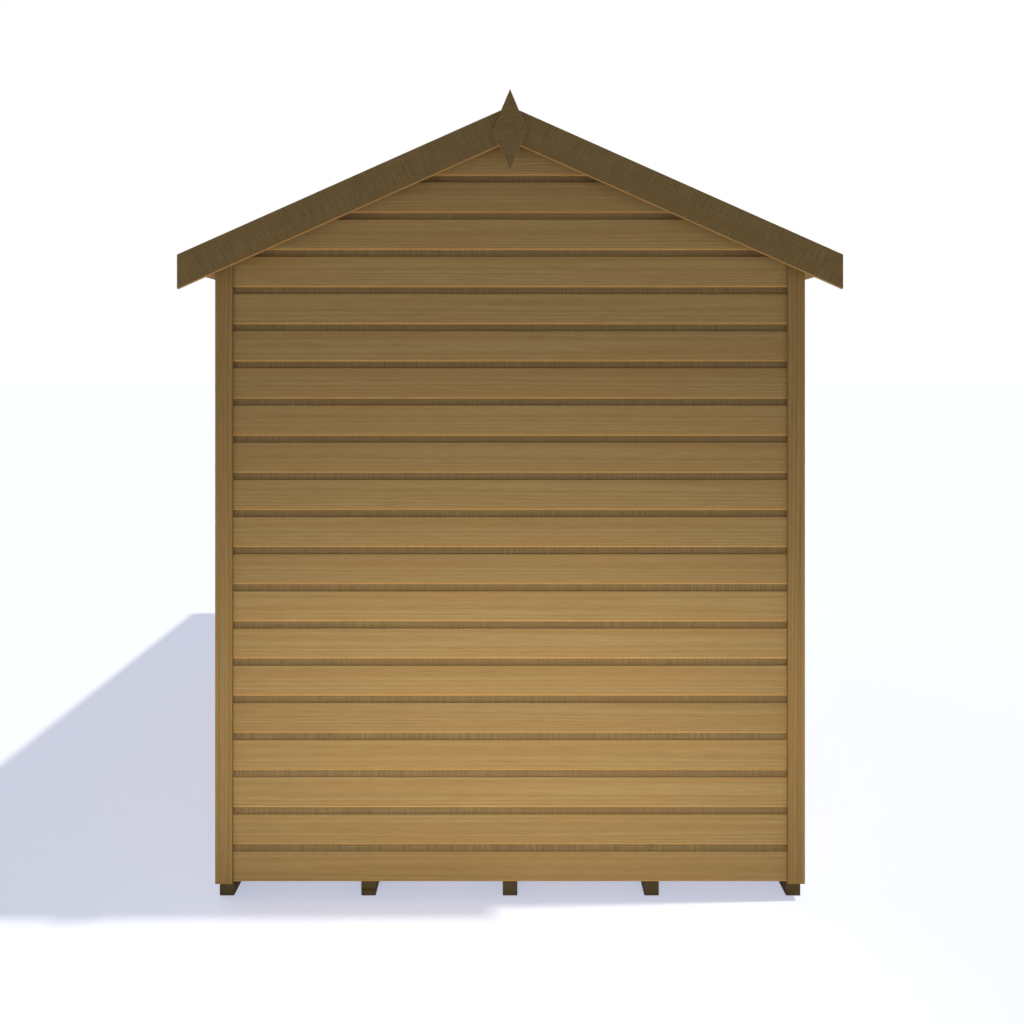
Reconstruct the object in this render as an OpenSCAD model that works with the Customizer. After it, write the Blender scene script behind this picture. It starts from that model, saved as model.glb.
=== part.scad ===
// Summer house: a small timber building with shiplap cladding on framed walls,
// a boarded floor on bearers, and a pitched roof of boards and felt.
//
// The ground is z = 0 and the origin is under the middle of the building.
// X runs across the gables and Y along the ridge. The front gable faces -Y,
// the doors and windows are in the right-hand wall, which faces +X.

/* [Building] */
// Width across the corner trims
body_w = 1800; // [1500:10:2200]
// Length over the gable cladding
body_l = 3000; // [2900:10:3800]
// Height of the bargeboards' top corner at the ridge
ridge_h = 2411; // [2360:1:2700]
// Slope of the roof, in degrees
pitch = 24; // [18:1:26]

/* [Floor] */
// Number of bearers under the floor
bearer_count = 5; // [3:2:7]
// Width of a bearer
bearer_w = 45; // [38:1:60]
// Height of a bearer
bearer_h = 45; // [40:1:48]
// Distance from the corner trims' outer faces in to the outermost bearers
bearer_inset = 6; // [0:1:30]
// Thickness of the floor boards
floor_t = 12; // [10:1:20]

/* [Walls] */
// Thickness of the shiplap cladding
cladding_t = 12; // [10:1:16]
// Height of the cladding's lower edge
cladding_bottom = 50; // [48:1:56]
// Width of a stud, rail or plate, along the wall
stud_w = 38; // [30:1:50]
// Depth of the wall framing, through the wall
stud_d = 34; // [28:1:50]
// Height of the middle rail's lower edge
rail_h = 1000; // [800:10:1200]
// Height of the plate's lower edge at the head of the walls
plate_h = 1965; // [1930:5:1990]
// Width of the trim boards
trim_w = 40; // [30:1:60]
// Thickness of the trim boards
trim_t = 12; // [8:1:16]

/* [Roof] */
// Reach of the eaves beyond the corner trims
eave_reach = 100; // [60:5:160]
// Reach of the roof boards beyond the gable cladding
gable_reach = 40; // [20:1:80]
// Thickness of the roof boards
roof_board_t = 12; // [9:1:20]
// Thickness of the roofing felt
felt_t = 3; // [2:0.5:5]
// Width of the felt strip over the ridge, on each slope
ridge_cap_w = 140; // [80:5:200]
// Upright depth of the felt and eaves batten at the edge of the roof
eave_drop = 44; // [36:1:60]
// Width of the eaves batten
eaves_batten_w = 30; // [20:1:45]
// Depth of the ridge beam
ridge_beam_h = 90; // [60:5:120]
// Depth of a purlin, square to the slope
purlin_h = 48; // [38:1:70]
// Upright depth of a bargeboard
bargeboard_h = 103.5; // [80:0.5:140]
// Thickness of a bargeboard
bargeboard_t = 15; // [12:1:22]

/* [Finial] */
// Width of the diamond finial
finial_w = 102; // [70:1:140]
// Height of the diamond finial
finial_h = 243; // [160:1:300]
// Thickness of the finial
finial_t = 13; // [9:1:20]
// Distance from the ridge's top corner down to the middle of the finial
finial_drop = 73.5; // [40:0.5:100]

/* [Openings] */
// Height of the head of the door and window openings
head_h = 1800; // [1700:10:1900]
// Width of the door opening in the wall
door_opening_w = 1200; // [1000:10:1240]
// Face width of the door frame and of the window frames
frame_w = 32; // [24:1:40]
// Thickness of a door leaf
leaf_t = 34; // [28:1:40]
// Width of a door leaf's stiles and top rail
stile_w = 70; // [50:1:90]
// Height of a door leaf's bottom rail
bottom_rail_h = 110; // [80:5:160]
// Height of the lower edge of a door leaf's middle rail
middle_rail_z = 860; // [700:10:1000]
// Height of a door leaf's middle rail
middle_rail_h = 80; // [60:5:120]
// Gap around each door leaf
leaf_gap = 3; // [2:0.5:5]
// Width of a window opening in the wall
window_w = 600; // [400:10:620]
// Height of a window opening in the wall
window_h = 860; // [500:10:1000]
// Distance from the middle of the wall to the middle of a window
window_y = 1044; // [1020:2:1060]
// Thickness of the glass
glass_t = 4; // [3:1:6]

/* [Hidden] */
body_half = body_w / 2;
clad_x = body_half - trim_t;              // outer face of the side cladding
clad_y = body_l / 2;                      // outer face of the gable cladding
frame_x = clad_x - cladding_t;            // outer face of the side framing
frame_y = clad_y - cladding_t;            // outer face of the gable framing
inner_x = frame_x - stud_d;               // inner face of the side framing
inner_y = frame_y - stud_d;               // inner face of the gable framing
floor_top = bearer_h + floor_t;
bearer_reach = body_half - bearer_inset - bearer_w / 2;
bearer_step = 2 * bearer_reach / (bearer_count - 1);

roof_half = body_half + eave_reach;       // half the span of the roof
roof_y = clad_y + gable_reach;            // end face of the roof boards
batten_x = roof_half - felt_t;            // outer face of the eaves batten
cover_t = felt_t + roof_board_t;          // felt and boards, square to the slope
eave_z = roof_z(roof_half) - eave_drop;   // lowest edge of the eaves

door_half = door_opening_w / 2;
stop_t = clad_x - leaf_t - inner_x;       // door stop, behind the leaf
stop_w = 15;
sill_rise = 15;                           // top of the door sill above the floor
sill_nose = 18;                           // reach of the door sill past the cladding
jamb_y = door_half - frame_w;             // inner face of a door jamb
leaf_lo = floor_top + sill_rise + leaf_gap;
leaf_hi = head_h - frame_w - leaf_gap;
leaf_in = leaf_gap / 2;                   // meeting edge of a leaf
leaf_out = jamb_y - leaf_gap;             // hinged edge of a leaf
panel_t = 12;
cover_strip_w = 36;
cover_strip_t = 10;
glass_x = clad_x - leaf_t / 2;            // middle plane of the glass
trim_lap = 12;                            // how far a trim covers the frame
window_lo = head_h - window_h;
window_sill_d = 27;
window_sill_h = 22;

hinge_h = 70;
hinge_t = 2;
hinge_r = 5;
hinge_leaf_w = 36;
hinge_jamb_w = frame_w - trim_lap;
hinge_inset = 170;                        // from a leaf's ends to its hinges
plate_w = 32;
plate_t = 3;
plate_len = 160;
handle_y = 44;                            // middle of the handle, from the doors' middle
handle_z = middle_rail_z + middle_rail_h / 2;
lever_len = 110;
lever_r = 8;
neck_r = 6;                               // radius of the stem that carries the lever
lever_reach = 36;                         // from the plate out to the lever

SIDES = [["left", -1], ["right", 1]];
ENDS = [["front", -1], ["back", 1]];

CLADDING = "#AE8D5B";
TRIM = "#A28352";
ROOF_TRIM = "#8F744A";
FRAMING = "#C9A873";
BEARER = "#6E5C3C";
FELT = "#4A4F4B";
IRON = "#26262A";

// Height of the roof's slope at a distance x from the ridge, and the height
// of a plane a given depth below it, measured square to the slope.
function roof_z(x, depth = 0) = ridge_h - abs(x) * tan(pitch) - depth / cos(pitch);

// A box between two limits along each axis, given in either order.
module block(x, y, z)
    translate([min(x), min(y), min(z)])
        cube([max(x) - min(x), max(y) - min(y), max(z) - min(z)]);

// An outline drawn in X and Z, drawn out along Y about the middle.
module along_y(length)
    rotate([90, 0, 0])
        linear_extrude(length, center = true)
            children();

// A board on one slope, between two distances from the ridge.
module slope_board(side, x0, x1, depth, thick, length)
    along_y(length)
        polygon([
            [side * x0, roof_z(x0, depth)],
            [side * x1, roof_z(x1, depth)],
            [side * x1, roof_z(x1, depth + thick)],
            [side * x0, roof_z(x0, depth + thick)]
        ]);

// The outline of everything between two distances either side of the ridge
// and below a plane at a given depth under the slopes.
module gable_outline(half, low, depth)
    polygon([
        [-half, low], [half, low],
        [half, roof_z(half, depth)],
        [0, roof_z(0, depth)],
        [-half, roof_z(half, depth)]
    ]);

// Everything below the underside of the roof boards.
module under_roof()
    along_y(2 * roof_y)
        gable_outline(batten_x, 0, cover_t);

// A picture-frame outline in Y and Z, cut from a plate across X.
module ring(x, y, z, bar)
    difference() {
        block(x, y, z);
        block(
            [min(x) - 1, max(x) + 1],
            [min(y) + bar, max(y) - bar],
            [min(z) + bar, max(z) - bar]
        );
    }

// ---- floor ----

module bearer(i)
    color(BEARER)
        translate([(i - (bearer_count + 1) / 2) * bearer_step, 0, 0])
            block([-bearer_w / 2, bearer_w / 2], [-frame_y, frame_y], [0, bearer_h]);

module floor_deck()
    color(FRAMING)
        block([-frame_x, frame_x], [-frame_y, frame_y], [bearer_h, floor_top]);

// ---- walls ----

module gable_wall(end)
    color(CLADDING)
        translate([0, end * (clad_y - cladding_t / 2), 0])
            along_y(cladding_t)
                gable_outline(clad_x, cladding_bottom, cover_t);

module side_cladding(side)
    along_y(2 * frame_y)
        polygon([
            [side * frame_x, cladding_bottom], [side * clad_x, cladding_bottom],
            [side * clad_x, roof_z(clad_x, cover_t)],
            [side * frame_x, roof_z(frame_x, cover_t)]
        ]);

module left_wall()
    color(CLADDING) side_cladding(-1);

module right_wall()
    color(CLADDING)
        difference() {
            side_cladding(1);
            block([frame_x - 1, clad_x + 1], [-door_half, door_half], [0, head_h]);
            for (end = [-1, 1])
                block(
                    [frame_x - 1, clad_x + 1],
                    [end * window_y - window_w / 2, end * window_y + window_w / 2],
                    [window_lo, head_h]
                );
        }

// Plates, a middle rail and studs over the bearers, with a rafter on each slope.
module gable_frame(end)
    color(FRAMING)
        translate([0, end * (frame_y - stud_d / 2), 0])
            along_y(stud_d)
                difference() {
                    gable_outline(frame_x, floor_top, cover_t);
                    difference() {
                        gable_outline(frame_x - stud_w, floor_top + stud_w, cover_t + stud_w);
                        for (z = [rail_h, plate_h])
                            translate([-frame_x, z])
                                square([2 * frame_x, stud_w]);
                        for (x = [-bearer_step, 0, bearer_step])
                            translate([x - stud_w / 2, floor_top])
                                square([stud_w, ridge_h]);
                    }
                }

// An upright in a side wall, from the floor to the roof boards.
module side_stud(side, y)
    block(side * [inner_x, frame_x], [y - stud_w / 2, y + stud_w / 2], [floor_top, ridge_h]);

// A level member in a side wall.
module side_rail(side, y, z)
    block(side * [inner_x, frame_x], y, [z, z + stud_w]);

module left_wall_frame()
    color(FRAMING)
        intersection() {
            under_roof();
            union() {
                for (z = [floor_top, rail_h, plate_h])
                    side_rail(-1, [-inner_y, inner_y], z);
                side_rail(-1, [-inner_y, inner_y], plate_h + stud_w / 2);
                for (k = [-2:2])
                    side_stud(-1, k * (inner_y - stud_w / 2) / 2);
            }
        }

module right_wall_frame()
    color(FRAMING)
        intersection() {
            under_roof();
            union() {
                side_rail(1, [-inner_y, inner_y], head_h);
                side_rail(1, [-inner_y, inner_y], plate_h);
                side_rail(1, [-inner_y, inner_y], plate_h + stud_w / 2);
                for (end = [-1, 1]) {
                    side_rail(1, end * [door_half, inner_y], floor_top);
                    side_rail(1, end * [door_half, inner_y], window_lo - stud_w);
                    side_stud(1, end * (inner_y - stud_w / 2));
                    for (edge = [-1, 1])
                        side_stud(1, end * (window_y + edge * (window_w + stud_w) / 2));
                    side_stud(1, end * (door_half + stud_w / 2));
                }
            }
        }

// Two boards around a corner: one on the gable, one on the side wall that
// also covers the first one's edge.
module corner_trim(end, side)
    color(TRIM)
        intersection() {
            under_roof();
            union() {
                block(
                    side * [clad_x - trim_w, clad_x],
                    end * [clad_y, clad_y + trim_t],
                    [cladding_bottom, ridge_h]
                );
                block(
                    side * [clad_x, body_half],
                    end * [clad_y + trim_t - trim_w, clad_y + trim_t],
                    [cladding_bottom, ridge_h]
                );
            }
        }

// ---- roof ----

module ridge_beam()
    color(FRAMING)
        intersection() {
            under_roof();
            block(
                [-stud_d / 2, stud_d / 2],
                [-inner_y, inner_y],
                [roof_z(0, cover_t) - ridge_beam_h, ridge_h]
            );
        }

module purlin(side)
    color(FRAMING)
        slope_board(
            side, body_half / 2 - stud_d / 2, body_half / 2 + stud_d / 2,
            cover_t, purlin_h, 2 * inner_y
        );

module roof_boards(side)
    color(FRAMING)
        slope_board(side, 0, batten_x, felt_t, roof_board_t, 2 * roof_y);

// The felt lies on the boards and turns down over the eaves batten.
module roof_felt(side)
    color(FELT)
        along_y(2 * roof_y)
            polygon([
                [0, roof_z(0)],
                [side * roof_half, roof_z(roof_half)],
                [side * roof_half, eave_z],
                [side * batten_x, eave_z],
                [side * batten_x, roof_z(batten_x, felt_t)],
                [0, roof_z(0, felt_t)]
            ]);

module ridge_cap()
    color(FELT)
        along_y(2 * roof_y)
            polygon([
                [-ridge_cap_w, roof_z(ridge_cap_w)],
                [0, roof_z(0)],
                [ridge_cap_w, roof_z(ridge_cap_w)],
                [ridge_cap_w, roof_z(ridge_cap_w, -felt_t)],
                [0, roof_z(0, -felt_t)],
                [-ridge_cap_w, roof_z(ridge_cap_w, -felt_t)]
            ]);

module eaves_batten(side)
    color(TRIM)
        along_y(2 * roof_y)
            polygon([
                [side * (batten_x - eaves_batten_w), roof_z(batten_x - eaves_batten_w, cover_t)],
                [side * batten_x, roof_z(batten_x, cover_t)],
                [side * batten_x, eave_z],
                [side * (batten_x - eaves_batten_w), eave_z + eaves_batten_w * tan(pitch)]
            ]);

// The upper ends meet at the ridge, and the lower ends are cut upright.
module bargeboard(end, side)
    color(ROOF_TRIM)
        translate([0, end * (roof_y + bargeboard_t / 2), 0])
            along_y(bargeboard_t)
                polygon([
                    [0, roof_z(0)],
                    [side * roof_half, roof_z(roof_half)],
                    [side * roof_half, roof_z(roof_half) - bargeboard_h],
                    [0, roof_z(0) - bargeboard_h]
                ]);

module finial(end)
    color(ROOF_TRIM)
        translate([0, end * (roof_y + bargeboard_t + finial_t / 2), ridge_h - finial_drop])
            along_y(finial_t)
                polygon([
                    [0, -finial_h / 2], [finial_w / 2, 0],
                    [0, finial_h / 2], [-finial_w / 2, 0]
                ]);

// ---- doors ----

module door_frame()
    color(TRIM) {
        for (end = [-1, 1]) {
            block([inner_x, clad_x], end * [jamb_y, door_half], [floor_top + sill_rise, head_h]);
            block(
                [inner_x, inner_x + stop_t],
                end * [jamb_y - stop_w, jamb_y],
                [floor_top + sill_rise, head_h - frame_w]
            );
        }
        block([inner_x, clad_x], [-jamb_y, jamb_y], [head_h - frame_w, head_h]);
        block(
            [inner_x, inner_x + stop_t],
            [-jamb_y + stop_w, jamb_y - stop_w],
            [head_h - frame_w - stop_w, head_h - frame_w]
        );
        block([inner_x, clad_x], [-door_half, door_half], [floor_top, floor_top + sill_rise]);
        block(
            [frame_x, clad_x + sill_nose],
            [-door_half, door_half],
            [cladding_bottom, floor_top + sill_rise]
        );
        block(
            [clad_x, clad_x + sill_nose],
            [-door_half - trim_w + trim_lap, door_half + trim_w - trim_lap],
            [cladding_bottom, floor_top + sill_rise]
        );
    }

// Trim boards beside and over the door, standing on the sill.
module door_trim()
    color(TRIM)
        difference() {
            block(
                [clad_x, clad_x + trim_t],
                [-door_half - trim_w + trim_lap, door_half + trim_w - trim_lap],
                [floor_top + sill_rise, head_h + trim_w - trim_lap]
            );
            block(
                [clad_x - 1, clad_x + trim_t + 1],
                [-door_half + trim_lap, door_half - trim_lap],
                [0, head_h - trim_lap]
            );
        }

// A framed leaf: a boarded panel below the middle rail and an opening for
// glass above it. The leaf towards the front carries the cover strip.
module door_leaf(end)
    color(TRIM) {
        difference() {
            block([clad_x - leaf_t, clad_x], end * [leaf_in, leaf_out], [leaf_lo, leaf_hi]);
            block(
                [clad_x - leaf_t - 1, clad_x + 1],
                end * [leaf_in + stile_w, leaf_out - stile_w],
                [leaf_lo + bottom_rail_h, middle_rail_z]
            );
            block(
                [clad_x - leaf_t - 1, clad_x + 1],
                end * [leaf_in + stile_w, leaf_out - stile_w],
                [middle_rail_z + middle_rail_h, leaf_hi - stile_w]
            );
        }
        block(
            [glass_x - panel_t / 2, glass_x + panel_t / 2],
            end * [leaf_in + stile_w, leaf_out - stile_w],
            [leaf_lo + bottom_rail_h, middle_rail_z]
        );
        if (end < 0)
            block(
                [clad_x, clad_x + cover_strip_t],
                [-cover_strip_w / 2, cover_strip_w / 2],
                [leaf_lo, leaf_hi]
            );
    }

module door_glass()
    color("lightblue")
        for (end = [-1, 1])
            block(
                [glass_x - glass_t / 2, glass_x + glass_t / 2],
                end * [leaf_in + stile_w, leaf_out - stile_w],
                [middle_rail_z + middle_rail_h, leaf_hi - stile_w]
            );

// A hinge fixed to the faces of a leaf and its jamb, the barrel over the gap.
module hinge(end, z) {
    block(
        [clad_x, clad_x + hinge_t],
        end * [leaf_out - hinge_leaf_w, jamb_y + hinge_jamb_w],
        [z - hinge_h / 2, z + hinge_h / 2]
    );
    difference() {
        translate([clad_x + hinge_t, end * (leaf_out + leaf_gap / 2), z - hinge_h / 2])
            cylinder(h = hinge_h, r = hinge_r, $fn = 32);
        block(
            [clad_x - hinge_r, clad_x],
            end * [leaf_out - hinge_r, jamb_y + hinge_r],
            [z - hinge_h, z + hinge_h]
        );
    }
}

module door_hinges()
    color(IRON)
        for (end = [-1, 1], z = [leaf_lo + hinge_inset, (leaf_lo + leaf_hi) / 2, leaf_hi - hinge_inset])
            hinge(end, z);

module door_handle()
    color(IRON) {
        block(
            [clad_x, clad_x + plate_t],
            [-handle_y - plate_w / 2, -handle_y + plate_w / 2],
            [handle_z - plate_len / 2, handle_z + plate_len / 2]
        );
        translate([clad_x + plate_t, -handle_y, handle_z])
            rotate([0, 90, 0])
                cylinder(h = lever_reach, r = neck_r, $fn = 32);
        translate([clad_x + plate_t + lever_reach, -handle_y + lever_r, handle_z])
            rotate([90, 0, 0])
                cylinder(h = lever_len, r = lever_r, $fn = 32);
    }

// ---- windows ----

module window_frame(end)
    color(TRIM)
        translate([0, end * window_y, 0])
            ring([inner_x, clad_x], [-window_w / 2, window_w / 2], [window_lo, head_h], frame_w);

module window_glass()
    color("lightblue")
        for (end = [-1, 1])
            block(
                [glass_x - glass_t / 2, glass_x + glass_t / 2],
                [end * window_y - window_w / 2 + frame_w, end * window_y + window_w / 2 - frame_w],
                [window_lo + frame_w, head_h - frame_w]
            );

// Trim boards around each window, and a deeper sill below it.
module window_trims()
    color(TRIM)
        for (end = [-1, 1])
            translate([0, end * window_y, 0]) {
                ring(
                    [clad_x, clad_x + trim_t],
                    [-window_w / 2 - trim_w + trim_lap, window_w / 2 + trim_w - trim_lap],
                    [window_lo - trim_w + trim_lap, head_h + trim_w - trim_lap],
                    trim_w
                );
                block(
                    [clad_x, clad_x + window_sill_d],
                    [-window_w / 2 - trim_w + trim_lap, window_w / 2 + trim_w - trim_lap],
                    [window_lo + trim_lap - window_sill_h, window_lo + trim_lap]
                );
            }

// ---- the nodes ----

for (i = [1:bearer_count])
    bearer(i);
floor_deck();  // floor
for (e = ENDS)
    gable_wall(e[1]);
left_wall();
right_wall();
for (e = ENDS)
    gable_frame(e[1]);
left_wall_frame();
right_wall_frame();
ridge_beam();
for (s = SIDES)
    purlin(s[1]);
for (s = SIDES)
    roof_boards(s[1]);
for (s = SIDES)
    roof_felt(s[1]);
ridge_cap();
for (s = SIDES)
    eaves_batten(s[1]);
for (e = ENDS, s = SIDES)
    bargeboard(e[1], s[1]);
for (e = ENDS)
    finial(e[1]);
for (e = ENDS, s = SIDES)
    corner_trim(e[1], s[1]);
door_frame();
door_trim();
for (e = ENDS)
    door_leaf(e[1]);
door_glass();
door_hinges();
door_handle();
for (e = ENDS)
    window_frame(e[1]);
window_glass();
window_trims();
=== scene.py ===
# %% [markdown]
# # A timber summer house, piece by piece
# The frame of this building, its true sizes and places, is already made and is
# loaded first. Everything below gives it its looks: each wall becomes separate
# shiplap boards, each trim a softened board, and every surface a finish of its own.
# All lengths are in metres, so a size in millimetres is written as a number * MM.

# %% Load the frame
import math
import random

import bmesh
import bpy
from mathutils import Matrix, Vector


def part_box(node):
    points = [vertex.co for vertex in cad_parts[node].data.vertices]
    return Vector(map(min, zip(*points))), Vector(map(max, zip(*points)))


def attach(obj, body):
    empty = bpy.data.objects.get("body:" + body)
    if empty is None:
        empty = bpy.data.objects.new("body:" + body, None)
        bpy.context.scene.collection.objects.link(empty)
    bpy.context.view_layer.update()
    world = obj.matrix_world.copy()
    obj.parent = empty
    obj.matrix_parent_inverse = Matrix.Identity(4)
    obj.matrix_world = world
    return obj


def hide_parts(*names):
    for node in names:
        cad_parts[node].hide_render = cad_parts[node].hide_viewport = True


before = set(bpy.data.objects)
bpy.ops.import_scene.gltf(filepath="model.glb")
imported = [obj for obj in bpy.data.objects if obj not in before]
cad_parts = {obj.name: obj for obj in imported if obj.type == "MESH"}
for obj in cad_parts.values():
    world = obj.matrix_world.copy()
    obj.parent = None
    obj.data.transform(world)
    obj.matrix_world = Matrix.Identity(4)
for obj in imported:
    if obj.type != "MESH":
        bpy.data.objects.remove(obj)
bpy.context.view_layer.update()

MM = 0.001
dice = random.Random(11)

# %% [markdown]
# ## The main sizes
# Every size that a CAD node already holds is read from that node's box, so the
# boards can't drift away from the frame. The roof's slope is the one angle that a
# box doesn't tell, so it's a value here, and one function gives the height of the
# roof at any distance from the ridge.

# %% Sizes read from the frame
PITCH = math.radians(24)
GABLE_LO, GABLE_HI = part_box("back_gable_wall")
CLAD_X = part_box("right_wall")[1].x        # outer face of the side cladding
CLAD_Y = GABLE_HI.y                       # outer face of the gable cladding
CLAD_T = GABLE_HI.y - GABLE_LO.y          # thickness of the cladding
CLAD_LOW = GABLE_LO.z                     # lower edge of the cladding
CORNER_LO, CORNER_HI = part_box("back_right_corner_trim")
BODY_X = CORNER_HI.x                      # outer face of the corner boards, across
TRIM_Y = CORNER_HI.y                      # outer face of the corner boards, along
TRIM_W = CLAD_X - CORNER_LO.x             # width of a corner board
FRAME_X = CLAD_X - CLAD_T                 # outer face of the side framing
FRAME_Y = CLAD_Y - CLAD_T                 # outer face of the gable framing
INNER_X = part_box("right_wall_frame")[0].x
INNER_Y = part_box("right_wall_frame")[1].y
SLOPE_LO, SLOPE_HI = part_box("right_roof_felt")
RIDGE_Z = SLOPE_HI.z
ROOF_X = SLOPE_HI.x                       # edge of the eaves
ROOF_Y = SLOPE_HI.y                       # end of the roof boards
EAVE_Z = SLOPE_LO.z                       # lowest edge of the eaves
BATTEN_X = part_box("right_eaves_batten")[1].x
FELT_T = ROOF_X - BATTEN_X
COVER_T = (RIDGE_Z - GABLE_HI.z) * math.cos(PITCH)   # felt and roof boards together
FLOOR_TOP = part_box("floor")[1].z
STUD_W = 38 * MM
SIDES = {"left": -1, "right": 1}
ENDS = {"front": -1, "back": 1}


def roof_z(x, depth=0.0):
    """Height of the slope at x, or of a plane lying depth below it, square to the slope."""
    return RIDGE_Z - abs(x) * math.tan(PITCH) - depth / math.cos(PITCH)


print("cladding", round(CLAD_X, 4), round(CLAD_Y, 4), "roof cover", round(COVER_T, 4))

# %% [markdown]
# ## Wood remembers how it was cut
# A board's figure runs along its length, and each board comes from another part of
# the tree. So each board carries two attributes on its points: "grain", its own
# coordinates measured from the heart of the log (x runs along the fibres), and
# "tone", one random number for how dark the board is. One wood pattern can then
# follow boards that lie in any direction, even down a roof, and the end grain comes
# out right because the pattern is solid. UV maps would need a seam at each edge.

# %% Empty meshes and the grain stamp
AXES = {"x": 0, "y": 1, "z": 2}


def start():
    """An empty bmesh with the two wood attributes."""
    bm = bmesh.new()
    bm.verts.layers.float_vector.new("grain")
    bm.verts.layers.float.new("tone")
    return bm


def stamp(bm, along):
    """Writes each point's place in its board: along the fibres, across, and through."""
    low = [min(vert.co[k] for vert in bm.verts) for k in range(3)]
    high = [max(vert.co[k] for vert in bm.verts) for k in range(3)]
    u = AXES[along]
    v, w = sorted((k for k in range(3) if k != u), key=lambda k: low[k] - high[k])
    heart = dice.choice((-1, 1)) * dice.uniform(35, 90) * MM
    shift = Vector((dice.uniform(0, 20), dice.uniform(-30, 30) * MM, heart))
    tone_value = dice.uniform(-1, 1)
    grain = bm.verts.layers.float_vector["grain"]
    tone = bm.verts.layers.float["tone"]
    for vert in bm.verts:
        across = vert.co[v] - (low[v] + high[v]) / 2
        through = vert.co[w] - (low[w] + high[w]) / 2
        vert[grain] = Vector((vert.co[u], across, through)) + shift
        vert[tone] = tone_value


test = start()
print("a board carries", test.verts.layers.float_vector.keys(), test.verts.layers.float.keys())
test.free()

# %% [markdown]
# ## Planks and boards
# A plank is a cube stretched to size. It could be typed out as eight corners, but
# the operator gives closed faces that point outwards for free. A planed board has
# its arrises taken off by a pass of sandpaper, which the bevel operator does, and
# those narrow faces are what catches the light. Cuts are made with bisect_plane, the
# way a saw works: what lies beyond the plane goes, and the open end is filled.

# %% Plank, soften, cut
ARRIS = 1.2 * MM                          # planed off the edges of a board
TIMBER_ARRIS = 1.5 * MM                   # and off the edges of a thick timber


def plank(x, y, z, along):
    """A sharp-edged plank between two limits on each axis, given in either order."""
    bm = start()
    low = Vector((min(x), min(y), min(z)))
    high = Vector((max(x), max(y), max(z)))
    bmesh.ops.create_cube(bm, size=1)
    bmesh.ops.scale(bm, vec=high - low, verts=bm.verts)
    bmesh.ops.translate(bm, vec=(low + high) / 2, verts=bm.verts)
    stamp(bm, along)
    return bm


def soften(bm, width, edges=None, segments=1):
    """Takes the arris off the edges, all of them unless some are named."""
    bmesh.ops.bevel(
        bm, geom=edges or bm.edges[:], offset=width, segments=segments,
        profile=0.5, affect="EDGES", material=-1, clamp_overlap=True,
    )
    return bm


def board(x, y, z, along, arris=ARRIS):
    """A planed board: a plank with its edges softened."""
    return soften(plank(x, y, z, along), arris)


def cut(bm, point, normal):
    """Saws off what lies beyond a plane, on the side its normal points to."""
    parts = bm.verts[:] + bm.edges[:] + bm.faces[:]
    made = bmesh.ops.bisect_plane(
        bm, geom=parts, dist=0.01 * MM, plane_co=point, plane_no=normal, clear_outer=True
    )
    rim = [item for item in made["geom_cut"] if isinstance(item, bmesh.types.BMEdge)]
    rim = [edge for edge in rim if edge.is_boundary]
    if rim:
        bmesh.ops.edgeloop_fill(bm, edges=rim)
    return bm


def cut_under_roof(bm, sides, depth=COVER_T):
    """Saws a piece off along the underside of the roof, on the slopes named by sign."""
    for side in sides:
        normal = (side * math.sin(PITCH), 0, math.cos(PITCH))
        cut(bm, (0, 0, roof_z(0, depth)), normal)
    return bm


print("arris", ARRIS / MM, "mm on boards and", TIMBER_ARRIS / MM, "mm on timbers")

# %% [markdown]
# ## Turning, aiming, and lying on a slope
# Walls are drawn once, facing the front, and turned about the middle of the
# building. Small round parts are drawn upright and aimed. What lies on the roof is
# drawn flat, with x down the slope and z square to it, and then tipped onto the
# slope. That keeps the sums as simple as on a bench.

# %% Turn, aim, lay on a slope
def turn(bm, degrees, axis="Z", centre=(0, 0, 0)):
    """Turns a whole part about an axis through a centre."""
    matrix = Matrix.Rotation(math.radians(degrees), 3, axis)
    bmesh.ops.rotate(bm, verts=bm.verts, cent=centre, matrix=matrix)
    return bm


def aim(bm, facing, place):
    """Points an upright part along a direction and moves it to its place."""
    tilt = Vector((0, 0, 1)).rotation_difference(Vector(facing)).to_matrix()
    bmesh.ops.rotate(bm, verts=bm.verts, cent=(0, 0, 0), matrix=tilt)
    bmesh.ops.translate(bm, verts=bm.verts, vec=place)
    return bm


def lay_on_slope(bm, side):
    """Tips a flat piece onto a slope, its x = 0 at the ridge and its z = 0 at the top."""
    turn(bm, math.degrees(PITCH), "Y")
    bmesh.ops.translate(bm, verts=bm.verts, vec=(0, 0, RIDGE_Z))
    if side < 0:
        turn(bm, 180)
    return bm


print("pitch", round(math.degrees(PITCH), 1), "degrees")

# %% [markdown]
# ## Extruding an outline
# Some parts aren't boxes: shiplap, the finials, the felt, the lever. A moulder or a
# saw gives each of them one outline and pushes it through, and the extrude operator
# does the same. It leaves the old face behind as the part's other end, so a face
# that stands alone becomes a closed solid.

# %% Extrude
def extrude(bm, faces, vector):
    """Extrudes faces, moves their copies along a vector, and gives those back."""
    grown = bmesh.ops.extrude_face_region(bm, geom=faces)["geom"]
    verts = [item for item in grown if isinstance(item, bmesh.types.BMVert)]
    bmesh.ops.translate(bm, verts=verts, vec=vector)
    return [item for item in grown if isinstance(item, bmesh.types.BMFace)]


def prism(outline, vector):
    """A closed solid: an outline pushed along a vector."""
    bm = start()
    extrude(bm, [bm.faces.new([bm.verts.new(point) for point in outline])], vector)
    bmesh.ops.recalc_face_normals(bm, faces=bm.faces[:])
    return bm


test = prism([(0, 0, 0), (1, 0, 0), (0, 1, 0)], (0, 0, 1))
print("a triangle becomes a prism of", len(test.faces), "faces")
test.free()

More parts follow.
